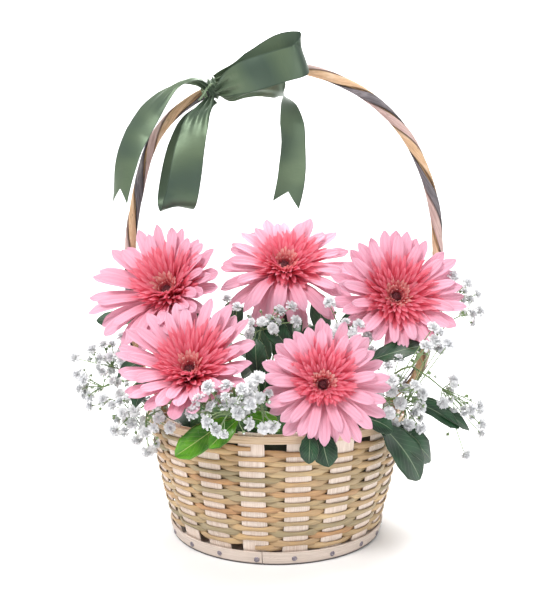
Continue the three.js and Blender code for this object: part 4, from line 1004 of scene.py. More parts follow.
RIGHT_TAIL = {
    "route": [
        (7.2, -2.2, -6.4), (14, -7, -9), (24, -13, -6.5), (38, -17, -4), (48, -16, -4),
        (55, -15, -6), (59, -15, -13), (62, -15, -28), (63.5, -15, -52), (62, -15, -75),
        (57.5, -16, -96),
    ],
    "across": [
        (0, 1, 0.1), (0, 0.95, -0.3), (0, 0.85, -0.5), (0.05, 0.88, -0.45), (0.55, 0.8, -0.2),
        (0.78, 0.62, 0), (0.8, 0.6, 0), (0.85, 0.5, 0), (0.85, 0.5, 0), (0.85, 0.5, 0),
    ],
    "widths": [6, 16, 22.5, 24.5, 24.9, 25, 25, 25],
    "notch": 11,
}
# Each loose end of the tie as steps from the knot
TIE_END = [(-1, -9.2, 1), (-4, -10.5, -2), (-6.5, -11, -7), (-10.5, -11.5, -12.5)]


def ribbon_form(shape, cup, phase):
    """A ribbon that is gathered into pleats where it is narrower than its cut width."""
    route = Route([KNOT + Vector(step) for step in shape["route"]])
    wides = [Vector(way) for way in shape["across"]]
    notch = shape.get("notch", 0) / route.length
    form = Form()
    rows = []
    count = 110
    columns = 24
    for station in range(count + 1):
        row = []
        for column in range(columns + 1):
            side = 2 * column / columns - 1
            share = station / count * (1 - notch * (1 - abs(side)))
            way = route.way(share)
            wide = read_line(wides, share)
            wide = (wide - way * wide.dot(way)).normalized()
            out = way.cross(wide)
            width = read_line(shape["widths"], share)
            gathered = max(RIBBON_WIDTH - width, 0)
            pleat = 1.7 * smooth(0.8, 13, gathered) ** 0.7 * math.sin(side * 8 + phase)
            hollow = cup * (side * side - 0.4) * width / RIBBON_WIDTH
            ripple = 0.5 * abs(side) ** 2 * math.sin(share * 17 + phase + side)
            spot = route.at(share) + wide * side * width / 2 + out * (pleat + hollow + ripple)
            row.append(form.corner(spot, (side, share * route.length, phase)))
        rows.append(row)
    form.grid(rows)
    return form, route.length


def knot_form():
    """The gathered ribbon drawn tight round the handle."""
    form = Form()
    wide = square_to(KNOT_WAY)
    up = KNOT_WAY.cross(wide)
    rows = []
    for turn in range(49):
        angle = math.tau * turn / 48
        row = []
        for step in range(25):
            side = 2 * step / 24 - 1
            fold = 0.95 * math.sin(side * 11 + 1.2 * math.sin(angle))
            dent = 0.7 * math.sin(angle * 2 + 1) * (1 - side * side)
            radius = 5.7 + 2.3 * (1 - side * side) ** 0.5 + fold + dent
            spoke = wide * math.cos(angle) + up * math.sin(angle)
            lean = side * 6.8 + 0.8 * math.sin(angle)
            row.append(form.corner(KNOT + spoke * radius + KNOT_WAY * lean, (side, angle * 7, 0)))
        rows.append(row)
    form.grid(rows)
    return form


def tie_form():
    """A thin paper tie, wound once and a half beside the knot, with its twisted ends in front."""
    form = Form()
    wide = square_to(KNOT_WAY)
    up = KNOT_WAY.cross(wide)
    line = []
    for step in range(45):
        share = step / 44
        angle = math.tau * (0.3 + 1.5 * share)
        spoke = wide * math.cos(angle) + up * math.sin(angle)
        line.append(KNOT + KNOT_WAY * (7.6 + 2.2 * share) + spoke * (6.9 + 0.5 * share))
    form.tube(line, [0.7] * len(line), 6, 0.2, closed=True)
    loose = Route([KNOT + Vector(step) for step in TIE_END])
    for phase in (0, math.pi):
        twisted = []
        for step in range(40):
            share = step / 39
            angle = share * 22 + phase
            swing = Vector((math.cos(angle), 0, math.sin(angle))) * 0.62
            twisted.append(loose.at(share) + swing)
        form.tube(twisted, [0.55] * len(twisted), 5, 0.6, closed=True)
    return form


# Gerberas

# Centre of the face, degrees that it faces up and to the right, radius, turn about its own
# axis, and where its stem enters the foam. The petals rise towards the rim. The rays are longer
# towards a bearing, by a share, and droop most at a bearing. The florets' fringe is longer
# towards a bearing too, and its last figure is its size
GERBERAS = [
    {"name": "gerbera_1", "centre": (-81.5, -30, 185), "up": 34, "right": -18, "radius": 54,
     "turn": 4, "foot": (-42, 8), "rise": 18, "longer": (100, 0.17), "droop": (150, 10),
     "fringe": (-20, 0.25, 0.93)},
    {"name": "gerbera_2", "centre": (6.5, 0, 203), "up": 41, "right": -3, "radius": 57,
     "turn": 9, "foot": (4, 30), "rise": 3, "longer": (-120, 0.06), "droop": (180, 22),
     "fringe": (-60, 0.2, 0.86)},
    {"name": "gerbera_3", "centre": (90.6, -28, 181), "up": 22, "right": 2, "radius": 51,
     "turn": 0, "foot": (44, 8), "rise": 20, "longer": (0, 0.03), "droop": (190, 4),
     "fringe": (-60, 0.1, 0.95)},
    {"name": "gerbera_4", "centre": (-58.8, -82, 132), "up": 41, "right": -8, "radius": 49,
     "turn": 6, "foot": (-28, -30), "rise": 20, "longer": (10, 0.12), "droop": (180, -7),
     "fringe": (-40, 0.28, 0.92)},
    {"name": "gerbera_5", "centre": (30.2, -103, 128), "up": 12, "right": 0, "radius": 43,
     "turn": 2, "foot": (16, -40), "rise": 8, "longer": (-70, 0.05), "droop": (180, 3),
     "fringe": (-10, 0.34, 0.84)},
]
GERBERA_RADIUS = 52

# Outlines of petals: the share of the half width at shares of the length
STRAP = [(0, 0.35), (0.2, 0.6), (0.5, 0.92), (0.74, 1), (0.88, 0.9), (0.96, 0.6), (1, 0.14)]
SLENDER = [(0, 0.4), (0.4, 0.75), (0.75, 1), (0.92, 0.7), (1, 0.1)]

# Rows of petals: how many, the root, the middle and the tip as (radius, height), the half width,
# how far the edges rise, and the rows and columns of its mesh
RAY_ROWS = [
    {"count": 15, "path": [(6, -5), (28, -1.5), (52, -5.5)], "half": 5.3, "cup": 0.9},
    {"count": 15, "path": [(6, -2.5), (26, 4.5), (50, 3.4)], "half": 5.0, "cup": 1.1},
    {"count": 13, "path": [(6, -1.5), (23, 7), (43, 7.6)], "half": 4.3, "cup": 1.0},
]
FLORET_ROWS = [
    {"count": 32, "path": [(6, -0.5), (18, 4.5), (33, 8)], "half": 2.1, "cup": 0.9},
    {"count": 32, "path": [(5.8, 0.5), (16, 7), (30, 12)], "half": 1.9, "cup": 0.9},
    {"count": 32, "path": [(5.6, 1), (13.5, 8), (26, 15.5)], "half": 1.7, "cup": 0.8},
    {"count": 30, "path": [(5.4, 1.6), (11, 9), (21, 17)], "half": 1.5, "cup": 0.8},
    {"count": 26, "path": [(5, 2), (8.5, 8.5), (15.5, 15.5)], "half": 1.35, "cup": 0.7},
]
DISC_ROWS = [
    {"count": 24, "path": [(4.8, 2), (7.4, 8.5), (11.5, 13)], "half": 1.4, "cup": 0.6},
    {"count": 20, "path": [(4.4, 3), (6.4, 8.6), (8.2, 11.6)], "half": 1.25, "cup": 0.6},
    {"count": 16, "path": [(3.6, 4), (5, 8.2), (4.8, 10)], "half": 1.0, "cup": 0.4},
]


def flower_place(flower):
    """Moves a flower of radius 52, built about its own Z axis, to its place."""
    up, right = math.radians(flower["up"]), math.radians(flower["right"])
    axis = Vector((math.cos(up) * math.sin(right), -math.cos(up) * math.cos(right), math.sin(up)))
    across = axis.cross(UP).normalized()
    top = axis.cross(across)
    scale = flower["radius"] / GERBERA_RADIUS
    turn = Matrix((across, top, axis)).transposed().to_4x4()
    return Matrix.Translation(flower["centre"]) @ turn @ Matrix.Scale(scale, 4)


def arc_point(path, share):
    """A place on the soft bend through a root, a middle and a tip."""
    root, middle, tip = path
    pull = [2 * m - (r + t) / 2 for r, m, t in zip(root, middle, tip)]
    back = 1 - share
    return [back * back * r + 2 * back * share * p + share * share * t
            for r, p, t in zip(root, pull, tip)]


def petal(form, place, path, bearing, half, cup, outline, shape):
    """One petal along a path from root to tip. `shape` holds its rows and columns, sway, twist,
    groove, wave and shade, and `finish` where it isn't the first."""
    rows = []
    for station in range(shape["rows"] + 1):
        share = station / shape["rows"]
        radius, height = arc_point(path, share)
        nearby = arc_point(path, min(share + 0.02, 1.02))
        run, rise = nearby[0] - radius, nearby[1] - height
        size = math.hypot(run, rise) or 1
        run, rise = run / size, rise / size
        sway = bearing + shape["sway"] * share * share
        twist = math.radians(shape["twist"]) * share
        width = half * read_stops(outline, share)
        row = []
        for column in range(shape["columns"] + 1):
            side = 2 * column / shape["columns"] - 1
            hollow = cup * (side * side - 0.3) * math.sin(math.pi * min(share * 1.1, 1)) ** 0.5
            groove = shape["groove"] * math.cos(side * 8.6) * smooth(0, 0.3, share)
            wave = shape["wave"] * side * math.sin(share * 7 + shape["shade"] * 9)
            lift = hollow + groove + wave + side * width * math.sin(twist)
            away = side * width * math.cos(twist)
            spot = around(radius - lift * rise, sway, height + lift * run)
            spot += around(away, sway + 90, 0)
            row.append(form.corner(place @ spot, (side, share, shape["shade"])))
        rows.append(row)
    form.grid(rows, finish=shape.get("finish", 0))


def path_at(path, flower, bearing, towards=0, share=0, size=1):
    """A petal's line at one bearing of its flower, longer by a share towards another bearing."""
    reach = size * (1 + share * math.cos(math.radians(bearing - towards)))
    side, amount = flower["droop"]
    droop = amount * max(0, math.cos(math.radians(bearing - side))) ** 3
    line = [path[0]]
    for radius, height in path[1:]:
        rim = radius / GERBERA_RADIUS
        line.append((radius * reach - droop * 0.3 * rim ** 3,
                     height + flower["rise"] * rim ** 1.5 - droop * rim ** 3))
    return line


def ray_form(flower):
    form = Form()
    place = flower_place(flower)
    for level, row in enumerate(RAY_ROWS):
        step = 360 / row["count"]
        for number in range(row["count"]):
            bearing = flower["turn"] + step * (number + 0.5 * level) + between(-3, 3)
            reach = between(0.92, 1.03)
            (a, b), (c, d), (e, f) = path_at(row["path"], flower, bearing, *flower["longer"])
            path = [(a, b), (c * reach, d + between(-1, 1)), (e * reach, f + between(-2.5, 2))]
            shape = {"rows": 18, "columns": 10, "sway": between(-4, 4), "twist": between(-14, 14),
                     "groove": 0.22, "wave": 0.5, "shade": random.random()}
            petal(form, place, path, bearing, row["half"] * between(0.88, 1.08),
                  row["cup"] * between(0.4, 1.6), STRAP, shape)
    return form


def floret_form(flower):
    form = Form()
    place = flower_place(flower)
    for level, row in enumerate(FLORET_ROWS + DISC_ROWS):
        step = 360 / row["count"]
        disc = level >= len(FLORET_ROWS)
        fringe = () if disc else flower["fringe"]
        for number in range(row["count"]):
            bearing = flower["turn"] + step * (number + 0.5 * (level % 2)) + between(-4, 4)
            reach = between(0.88, 1.06)
            (a, b), (c, d), (e, f) = path_at(row["path"], flower, bearing, *fringe)
            path = [(a, b), (c * between(0.93, 1.07), d + between(-0.8, 0.8)),
                    (e * reach, f + between(-1.2, 1.2))]
            shape = {"rows": 9, "columns": 4, "sway": between(-7, 7), "twist": between(-30, 30),
                     "groove": 0, "wave": 0.3, "shade": random.random(), "finish": int(disc)}
            petal(form, place, path, bearing, row["half"] * between(0.85, 1.1), row["cup"],
                  SLENDER, shape)
    hub_rows = form.lathe([(6.4, -6), (6.6, -1), (6, 2), (4.4, 4.4), (0.3, 4.6)], 20, 0.2, place)
    form.face(tuple(reversed(hub_rows[-1])))
    return form


def eye_form(flower):
    """The unopened middle: a low dome of tiny buds."""
    form = Form()
    place = flower_place(flower)
    rows = form.lathe([(3.4, 4.8), (3.3, 6.6), (2.6, 7.6), (1.4, 8), (0.2, 8.1)], 18, 0, place)
    form.face(tuple(reversed(rows[-1])))
    for number in range(34):
        radius = 3.1 * math.sqrt((number + 0.5) / 34)
        bearing = number * 137.5
        top = 7.6 + 1.4 * (1 - (radius / 3.3) ** 2) + between(-0.2, 0.3)
        base = place @ around(radius * 0.9, bearing, 6)
        tip = place @ around(radius * 1.15, bearing, top)
        form.tube([base, base.lerp(tip, 0.7), tip], [0.42, 0.42, 0.12], 5, random.random(),
                  closed=True)
    return form


def foam_top(x, y):
    radius = math.hypot(x, y)
    return mix(96, 94, radius / 57) if radius < 57 else mix(94, 87, min((radius - 57) / 12, 1))


def stem_line(start, foot, count=22):
    """From what the stem carries, down into the foam."""
    entry = Vector((foot[0], foot[1], foam_top(*foot) + 1))
    bottom = Vector((foot[0] * 0.94, foot[1] * 0.94, entry.z - 26))
    middle = start[-1].lerp(entry, 0.5)
    route = Route([*start, middle, entry, bottom])
    return [route.at(step / (count - 1)) for step in range(count)]


def gerbera_stem_form(flower):
    """The stem, which widens into the cup of the calyx."""
    form = Form()
    place = flower_place(flower)
    start = [place @ Vector((0, 0, height)) for height in (-6.7, -11, -24)]
    line = stem_line(start, flower["foot"])
    radii = [2.5 + 2.4 * max(0, 1 - (spot - line[0]).length / 9) for spot in line]
    form.tube(line, radii, 12, 0.4, closed=True)
    form.lathe([(2.6, -13), (5, -10.5), (8, -7.6), (9.5, -5.8), (6, -5)], 20, 0.6, place)
    bracts(form, place)
    return form


def bracts(form, place):
    """Three rows of narrow green leaves under the rays."""
    for level, (count, reach) in enumerate(((18, 15), (16, 12), (14, 9.5))):
        for number in range(count):
            bearing = 360 * (number + 0.5 * level) / count + between(-3, 3)
            path = [(4.5 - level * 0.6, -9.5 - level), (reach * 0.66, -7.7 - level * 0.9),
                    (reach * between(0.9, 1.08), -5.9 - level * 0.9)]
            shape = {"rows": 5, "columns": 2, "sway": between(-3, 3), "twist": 0,
                     "groove": 0, "wave": 0, "shade": random.random()}
            petal(form, place, path, bearing, 1.5, -0.4, SLENDER, shape)


# Leaves

# Each shoot: its green, its crown, where its stem enters the foam, and for each leaf where the
# blade starts, its tip, its width, the way it faces and how far it bows
SHOOTS = [
    ("leaves_front_left", "bright", (-25, -95, 108), (-18, -52), [
        ((-31, -100, 106), (-68, -96, 79), 19, (0.2, -0.8, 0.6), 3),
        ((-25, -104.5, 106), (-44, -110, 88), 13, (-0.1, -0.9, 0.3), 2),
        ((-21, -102, 106), (2, -108, 99), 14, (0, -0.8, 0.6), 2),
    ]),
    ("leaves_front_low", "dark", (26, -104, 101), (27, -57), [
        ((29, -106, 99.5), (34, -111, 76), 17, (0, -1, 0.1), 2),
        ((22, -107, 98), (21, -111, 78), 13, (-0.3, -1, 0.1), 2),
    ]),
    ("leaves_right_low", "dark", (52, -80, 104), (42, -42), [
        ((56, -86, 103), (80, -84, 93), 18, (0, -0.7, 0.7), 3),
        ((70, -82, 99), (101, -72, 56), 24, (0.3, -0.9, 0.3), 5),
        ((76, -74, 97), (112, -58, 66), 23, (0.5, -0.7, 0.5), 5),
    ]),
    ("leaves_right", "dark", (94, -34, 106), (59, -16), [
        ((100, -38, 105), (138, -37, 84), 17, (0.2, -0.7, 0.7), 3),
        ((102, -30, 107), (149, -26, 80), 18, (0.3, -0.5, 0.8), 5),
    ]),
    ("leaves_right_high", "dark", (58, -52, 132), (36, -20), [
        ((63, -58, 136), (108, -56, 149), 18, (0, -0.6, 0.8), 5),
        ((52, -46, 138), (30, -40, 160), 16, (0, -0.9, 0.45), 3),
    ]),
    ("leaves_centre_left", "dark", (-12, -60, 122), (-6, -24), [
        ((-13, -66, 126), (-15, -60, 154), 15, (0, -0.9, 0.45), 2),
        ((-16, -57, 116), (-30, -80, 104), 16, (0, -0.5, 0.85), 2),
        ((-10, -60, 112), (-5, -72, 140), 13, (0, -0.9, 0.45), 2),
    ]),
    ("leaves_centre", "dark", (14, -34, 138), (13, -6), [
        ((10, -36, 143), (-8, -32, 166), 18, (0, -0.9, 0.45), 2),
        ((18, -36, 143), (36, -32, 158), 17, (0, -0.9, 0.45), 2),
        ((14, -30, 146), (12, -16, 172), 16, (0, -0.9, 0.45), 2),
    ]),
    ("leaves_left_high", "dark", (-104, -2, 158), (-57, -4), [
        ((-112, -4, 163), (-144, -6, 163), 15, (-0.1, -0.8, 0.6), 3),
        ((-106, 13, 165), (-128, 44, 176), 16, (-0.4, -0.2, 0.9), 3),
    ]),
    ("leaves_left", "dark", (-82, -40, 132), (-50, -24), [
        ((-88, -44, 138), (-118, -48, 124), 16, (0, -0.5, 0.85), 3),
        ((-84, -48, 128), (-98, -78, 108), 17, (-0.4, -0.5, 0.8), 4),
    ]),
    ("leaves_back_left", "dark", (-44, 66, 130), (-36, 38), [
        ((-48, 72, 134), (-76, 92, 150), 22, (-0.2, 0.7, 0.6), 4),
        ((-40, 74, 130), (-28, 108, 118), 22, (0, 0.6, 0.8), 5),
        ((-52, 64, 128), (-92, 74, 112), 22, (-0.5, 0.5, 0.7), 5),
        ((-44, 62, 140), (-36, 64, 178), 20, (0, 0.9, 0.3), 3),
        ((-50, 60, 136), (-78, 52, 168), 21, (-0.3, 0.8, 0.5), 4),
    ]),
    ("leaves_back_centre", "dark", (2, 62, 116), (2, 44), [
        ((-6, 62, 121), (-22, 58, 158), 19, (-0.1, 0.8, 0.5), 4),
        ((8, 62, 121), (26, 58, 160), 19, (0.1, 0.8, 0.5), 4),
        ((-6, 70, 114), (-32, 98, 100), 22, (-0.1, 0.4, 0.9), 5),
        ((2, 72, 113), (0, 110, 98), 23, (0, 0.4, 0.9), 5),
        ((10, 70, 114), (36, 96, 100), 22, (0.1, 0.4, 0.9), 5),
        ((2, 54, 120), (4, 40, 152), 20, (0, 0.9, 0.5), 3),
    ]),
    ("leaves_back_right", "dark", (44, 66, 132), (36, 40), [
        ((48, 72, 136), (78, 90, 150), 22, (0.2, 0.7, 0.6), 4),
        ((40, 74, 132), (30, 108, 116), 22, (0, 0.6, 0.8), 5),
        ((52, 64, 130), (94, 72, 112), 22, (0.5, 0.5, 0.7), 5),
        ((44, 62, 142), (40, 62, 182), 20, (0, 0.9, 0.3), 3),
        ((50, 60, 138), (80, 50, 170), 21, (0.3, 0.8, 0.5), 4),
    ]),
]
LEAF_OUTLINE = [
    (0, 0.05), (0.12, 0.42), (0.32, 0.85), (0.55, 1), (0.78, 0.88), (0.92, 0.5), (1, 0.03),
]
LEAF_FOLD = 0.16
LEAF_THICKNESS = 0.5
STALK_RADII = [0.95, 0.9, 0.85, 0.8, 0.75, 0.7, 0.5, 0.3]


def leaf(form, root, base, tip, width, face, bow):
    """A blade with two faces and a shared rim, on its stalk."""
    along = tip - base
    face = (face - along * face.dot(along) / along.length_squared).normalized()
    side_way = along.cross(face).normalized()
    shade = random.random()
    bend = between(-0.06, 0.06) * along.length
    count = 20
    columns = 10
    tops = []
    bottoms = []
    for station in range(count + 1):
        share = station / count
        middle = base + along * share + (face * bow + side_way * bend) * 4 * share * (1 - share)
        half = width / 2 * read_stops(LEAF_OUTLINE, share)
        top = []
        bottom = []
        for column in range(columns + 1):
            side = 2 * column / columns - 1
            rise = LEAF_FOLD * half * abs(side) ** 1.3
            rise += 0.35 * side * side * math.sin(share * 13 + shade * 20 + side)
            spot = middle + side_way * half * side + face * rise
            paint = (side, share, shade)
            top.append(form.corner(spot, paint))
            inside = 0 < column < columns
            under = form.corner(spot - face * LEAF_THICKNESS, paint) if inside else top[-1]
            bottom.append(under)
        tops.append(top)
        bottoms.append(list(reversed(bottom)))
    form.grid(tops)
    form.grid(bottoms, finish=1)
    stalk = Route([root, mix(root, base, 0.6) + face * 0.5, base, base + along * 0.12])
    form.tube([stalk.at(step / 7) for step in range(8)], STALK_RADII, 6, 0.4, finish=2)


def set_off(head, foot, share):
    """The first two places of a stem that sinks slowly from its head towards the foam."""
    entry = Vector((foot[0], foot[1], foam_top(*foot)))
    after = head.lerp(entry, share)
    after.z = mix(head.z, entry.z, 0.4 * share)
    return [head, after]


def shoot_form(top, foot, leaves):
    form = Form()
    head = Vector(top)
    line = stem_line(set_off(head, foot, 0.2), foot)
    form.tube(line, [1.3] * len(line), 8, 0.4, finish=2, closed=True)
    for base, tip, width, face, bow in leaves:
        leaf(form, head, Vector(base), Vector(tip), width, Vector(face), bow)
    return form


# Gypsophila

# Each spray: its crown, where its stem enters the foam, and its forks with their blossoms
SPRAYS = [
    ("gypsophila_left", (-106, -16, 118), (-62, 14), [
        ((-128, -20, 128), [(-143, -20, 141), (-136, -24, 135), (-121, -16, 150),
                            (-130, -12, 144)]),
        ((-134, -24, 113), [(-154, -22, 122), (-151, -26, 112), (-143, -25, 106), (-134, -26, 124),
                            (-124, -26, 117)]),
        ((-124, -24, 102), [(-144, -22, 98), (-132, -28, 104), (-120, -30, 108)]),
    ]),
    ("gypsophila_left_low", (-88, -50, 108), (-45, -42), [
        ((-106, -46, 97), [(-122, -42, 102), (-118, -42, 92), (-113, -44, 83), (-104, -52, 100),
                           (-111, -44, 107)]),
        ((-93, -64, 99), [(-96, -56, 108), (-93, -68, 89), (-91, -70, 76), (-83, -74, 100),
                          (-74, -82, 95)]),
    ]),
    ("gypsophila_front", (-13, -97, 111), (-6, -58), [
        ((-31, -119, 112), [(-49, -119, 121), (-41, -119, 117), (-43, -121, 108),
                            (-37, -121, 103), (-27, -119, 118)]),
        ((-10, -106, 116), [(-20, -113, 114), (-11, -112, 121), (-16, -110, 128),
                            (-3, -112, 103)]),
    ]),
    ("gypsophila_right_front", (72, -58, 108), (52, -30), [
        ((80, -66, 112), [(71, -74, 116), (81, -72, 118), (86, -66, 125), (77, -86, 106)]),
        ((92, -62, 106), [(88, -68, 109), (98, -62, 102), (94, -60, 117), (106, -54, 112),
                          (102, -68, 92)]),
    ]),
    ("gypsophila_right", (106, -18, 128), (63, 4), [
        ((134, -16, 178), [(138, -8, 190), (146, -12, 187), (152, -12, 180), (158, -12, 184)]),
        ((138, -14, 164), [(154, -12, 168), (160, -12, 170)]),
        ((128, -26, 112), [(135, -30, 119), (126, -34, 103), (147, -34, 98), (154, -32, 101),
                           (156, -30, 86)]),
    ]),
    ("gypsophila_centre", (-14, -22, 148), (-14, 0), [
        ((-12, -36, 158), [(-11, -40, 164), (-20, -40, 155), (-3, -44, 160)]),
        ((-32, -32, 156), [(-42, -40, 160), (-37, -40, 151)]),
    ]),
    ("gypsophila_centre_right", (48, -26, 140), (28, -2), [
        ((50, -44, 152), [(46, -48, 160), (60, -54, 163), (66, -54, 155), (63, -60, 142)]),
    ]),
    ("gypsophila_back", (0, 76, 136), (-8, 56), [
        ((-14, 84, 150), [(-24, 92, 158), (-12, 90, 164), (-4, 96, 152), (-18, 98, 142)]),
        ((16, 82, 148), [(26, 90, 158), (12, 88, 162), (6, 98, 140), (22, 98, 144)]),
    ]),
]
# More blossoms of each spray: how far back they lie, and their places across and up
MORE_BLOSSOMS = {
    "gypsophila_left": (-22, [
        (-147, 141), (-154, 136), (-141, 139), (-123, 148), (-118, 149), (-127, 146),
        (-122, 137), (-129, 135), (-119, 133), (-154, 123), (-148, 119), (-137, 122),
        (-129, 125), (-124, 118), (-154, 113), (-148, 113), (-148, 106), (-143, 108),
        (-141, 105), (-146, 98), (-136, 144),
    ]),
    "gypsophila_left_low": (-48, [
        (-121, 105), (-116, 105), (-112, 99), (-112, 96), (-121, 93), (-118, 86), (-103, 102),
        (-106, 91), (-102, 97), (-98, 89), (-103, 79), (-96, 85), (-90, 74), (-93, 71),
        (-89, 98), (-86, 93), (-82, 96), (-73, 88),
    ]),
    "gypsophila_front": (-119, [
        (-43, 129), (-32, 129), (-22, 128), (-22, 123), (-18, 121), (-13, 120), (-44, 118),
        (-53, 113), (-47, 110), (-40, 111), (-43, 106), (-36, 106), (-41, 103), (-32, 116),
        (-25, 113), (-18, 106), (-8, 103), (-17, 119), (-12, 134),
    ]),
    "gypsophila_centre": (-34, [
        (-30, 175), (-6, 165), (2, 172), (11, 175), (14, 165), (-38, 181),
    ]),
    "gypsophila_centre_right": (-54, [
        (39, 179), (61, 163), (64, 151), (69, 143), (44, 160), (55, 158),
    ]),
    "gypsophila_right_front": (-72, [
        (87, 140), (79, 135), (80, 126), (81, 116), (91, 116), (96, 115), (103, 116), (91, 106),
        (102, 106), (83, 95), (93, 95), (93, 85), (96, 123), (88, 125), (109, 163), (116, 159),
        (111, 153), (120, 151), (115, 147), (104, 150),
    ]),
    "gypsophila_right": (-24, [
        (135, 198), (138, 194), (136, 188), (146, 193), (150, 186), (153, 181), (156, 186),
        (150, 169), (157, 171), (135, 109), (124, 107), (128, 99), (152, 90), (158, 94),
        (154, 84), (159, 77), (144, 63),
    ]),
}
BLOSSOM_RADIUS = 5.3
SMALL_BLOSSOM = 3.6
BLOSSOM_GAP = 4.5
# Each ring of a blossom: how many petals, their length as a share of the radius, how steeply
# they stand, and half their width as a share of the radius
BLOSSOM_RINGS = [
    (7, 0.9, -8, 0.27), (8, 1.0, 14, 0.26), (7, 0.98, 36, 0.26), (6, 0.9, 57, 0.25),
    (4, 0.82, 78, 0.22),
]
# Along a blossom's petal: the share of its length and of its half width, and its lift
BLOSSOM_PETAL = [(0.05, 0.25, 0), (0.45, 0.8, 0.06), (0.8, 1, 0.03), (1, 0.6, -0.08)]


def blossom(form, centre, axis, radius):
    """A double blossom: rings of rounded petals that stand steeper towards the middle."""
    side = square_to(axis)
    up = axis.cross(side)
    shade = random.random()
    for level, (count, reach, steep, half) in enumerate(BLOSSOM_RINGS):
        for number in range(count):
            turn = math.tau * (number + 0.5 * (level % 2)) / count + between(-0.2, 0.2)
            out = side * math.cos(turn) + up * math.sin(turn)
            slope = math.radians(steep + between(-12, 12))
            along = (out * math.cos(slope) + axis * math.sin(slope)) * between(0.85, 1.1) * reach
            face = axis * math.cos(slope) - out * math.sin(slope)
            ways = [way * radius for way in (along, axis.cross(out) * half, face)]
            blossom_petal(form, centre, ways, shade)
    cup = [centre - axis * radius * step for step in (0.42, 0.2, 0.02)]
    form.tube(cup, [0.35, radius * 0.26, radius * 0.28], 7, 0.4, finish=1)
    heart = [centre + axis * radius * step for step in (-0.05, 0.2, 0.42, 0.52)]
    form.tube(heart, [radius * size for size in (0.2, 0.34, 0.28, 0.05)], 7, shade, closed=True)


def blossom_petal(form, centre, ways, shade):
    """A rounded petal with a nick in its tip. `ways` run along it, across it and off its face."""
    along, cross, face = ways
    rows = []
    for share, width, lift in BLOSSOM_PETAL:
        row = []
        for across in (-1, 0, 1):
            nick = 0.08 if share == 1 and across == 0 else 0
            spot = centre + along * (share - nick) + cross * across * width
            spot += face * (lift + 0.12 * abs(across))
            row.append(form.corner(spot, (across, share, shade)))
        rows.append(row)
    form.grid(rows)


def twig(form, start, end, thick, thin, rise):
    """A thin twig that rises a little above the straight line."""
    middle = start.lerp(end, 0.55) + Vector((between(-1, 1), between(-1, 1), rise))
    route = Route([start, middle, end], 4)
    form.tube([route.at(step / 5) for step in range(6)],
              [mix(thick, thin, step / 5) for step in range(6)], 5, 0.5, finish=1)
    return route


def bud(form, centre, axis, radius):
    """A closed bud: a green cup with a white tip."""
    line = [centre - axis * radius, centre - axis * radius * 0.5, centre + axis * radius * 0.4,
            centre + axis * radius * 1.3]
    form.tube(line[:3], [0.3, radius * 0.9, radius], 7, 0.5, finish=1)
    form.tube(line[2:], [radius * 0.85, radius * 0.2], 7, 0.5)


def spray_form(top, foot, forks, more):
    """A stem with its forks and twigs. The blossoms in `more` grow from the nearest fork, where
    they have room."""
    form = Form()
    head = Vector(top)
    line = stem_line(set_off(head, foot, 0.16), foot)
    form.tube(line, [0.9] * len(line), 7, 0.4, finish=1, closed=True)
    for at, blossoms in forks:
        twig(form, head, Vector(at), 0.85, 0.6, 1)
        for spot in blossoms:
            grow_twig(form, Vector(at), Vector(spot), True)
    taken = [Vector(spot) for _, blossoms in forks for spot in blossoms]
    for spot in more:
        if all(math.hypot(spot.x - other.x, spot.z - other.z) > BLOSSOM_GAP for other in taken):
            fork = min((Vector(at) for at, _ in forks), key=lambda at: (at - spot).length)
            grow_twig(form, fork, spot, False)
            taken.append(spot)
    return form


def grow_twig(form, fork, centre, branched):
    """A twig with its blossom, a bud on a side twig and, where it is branched, a smaller
    blossom."""
    away = (centre - fork).normalized()
    axis = (away * 0.8 + Vector((0, -0.5, 0.2))).normalized()
    size = BLOSSOM_RADIUS * between(0.85, 1.1)
    route = twig(form, fork, centre - axis * size * 0.4, 0.5, 0.36, between(0, 1.5))
    blossom(form, centre, axis, size)
    for number in range(2 if branched else 1):
        start = route.at(between(0.35, 0.6))
        turn = random.random() * math.tau
        square = square_to(away)
        spread = square * math.cos(turn) + away.cross(square) * math.sin(turn)
        end = start + (away * 0.75 + spread * 0.9).normalized() * between(7, 11)
        facing = (end - start).normalized()
        if number == 1:
            twig(form, start, end, 0.36, 0.28, 0.4)
            blossom(form, end + facing, facing, SMALL_BLOSSOM * between(0.9, 1.1))
        else:
            twig(form, start, end, 0.34, 0.26, 0.4)
            bud(form, end + facing * 1.2, facing, between(1.1, 1.5))


# Camera, light and floor

# Soft lights: where they stand, where they aim, their size and their power
LIGHTS = {
    "key": ((-800, -1100, 1500), (0, 0, 150), 700, 28),
    "fill": ((1300, -1000, 700), (0, 0, 150), 1000, 8),
    "top": ((250, 200, 1800), (0, 0, 100), 900, 17),
    "backdrop": ((0, 750, 1600), (0, 1500, 300), 1200, 30),
}
SKY_STRENGTH = 0.42
FLOOR_HALF_WIDTH = 3500
# The floor runs back and bends up into the backdrop: places along Y and heights
FLOOR_PROFILE = [
    (-3000, 0), (900, 0), (1150, 25), (1350, 100), (1500, 250), (1560, 480), (1570, 2600),
]


def make_camera():
    data = bpy.data.cameras.new("camera")
    data.sensor_width = SENSOR
    data.lens = LENS
    data.shift_y = LENS_SHIFT
    camera = bpy.data.objects.new("camera", data)
    camera.location = Vector((0, -CAMERA_AWAY, CAMERA_HEIGHT)) * MM
    camera.rotation_euler = (math.radians(90), 0, 0)
    bpy.context.scene.collection.objects.link(camera)
    bpy.context.scene.camera = camera


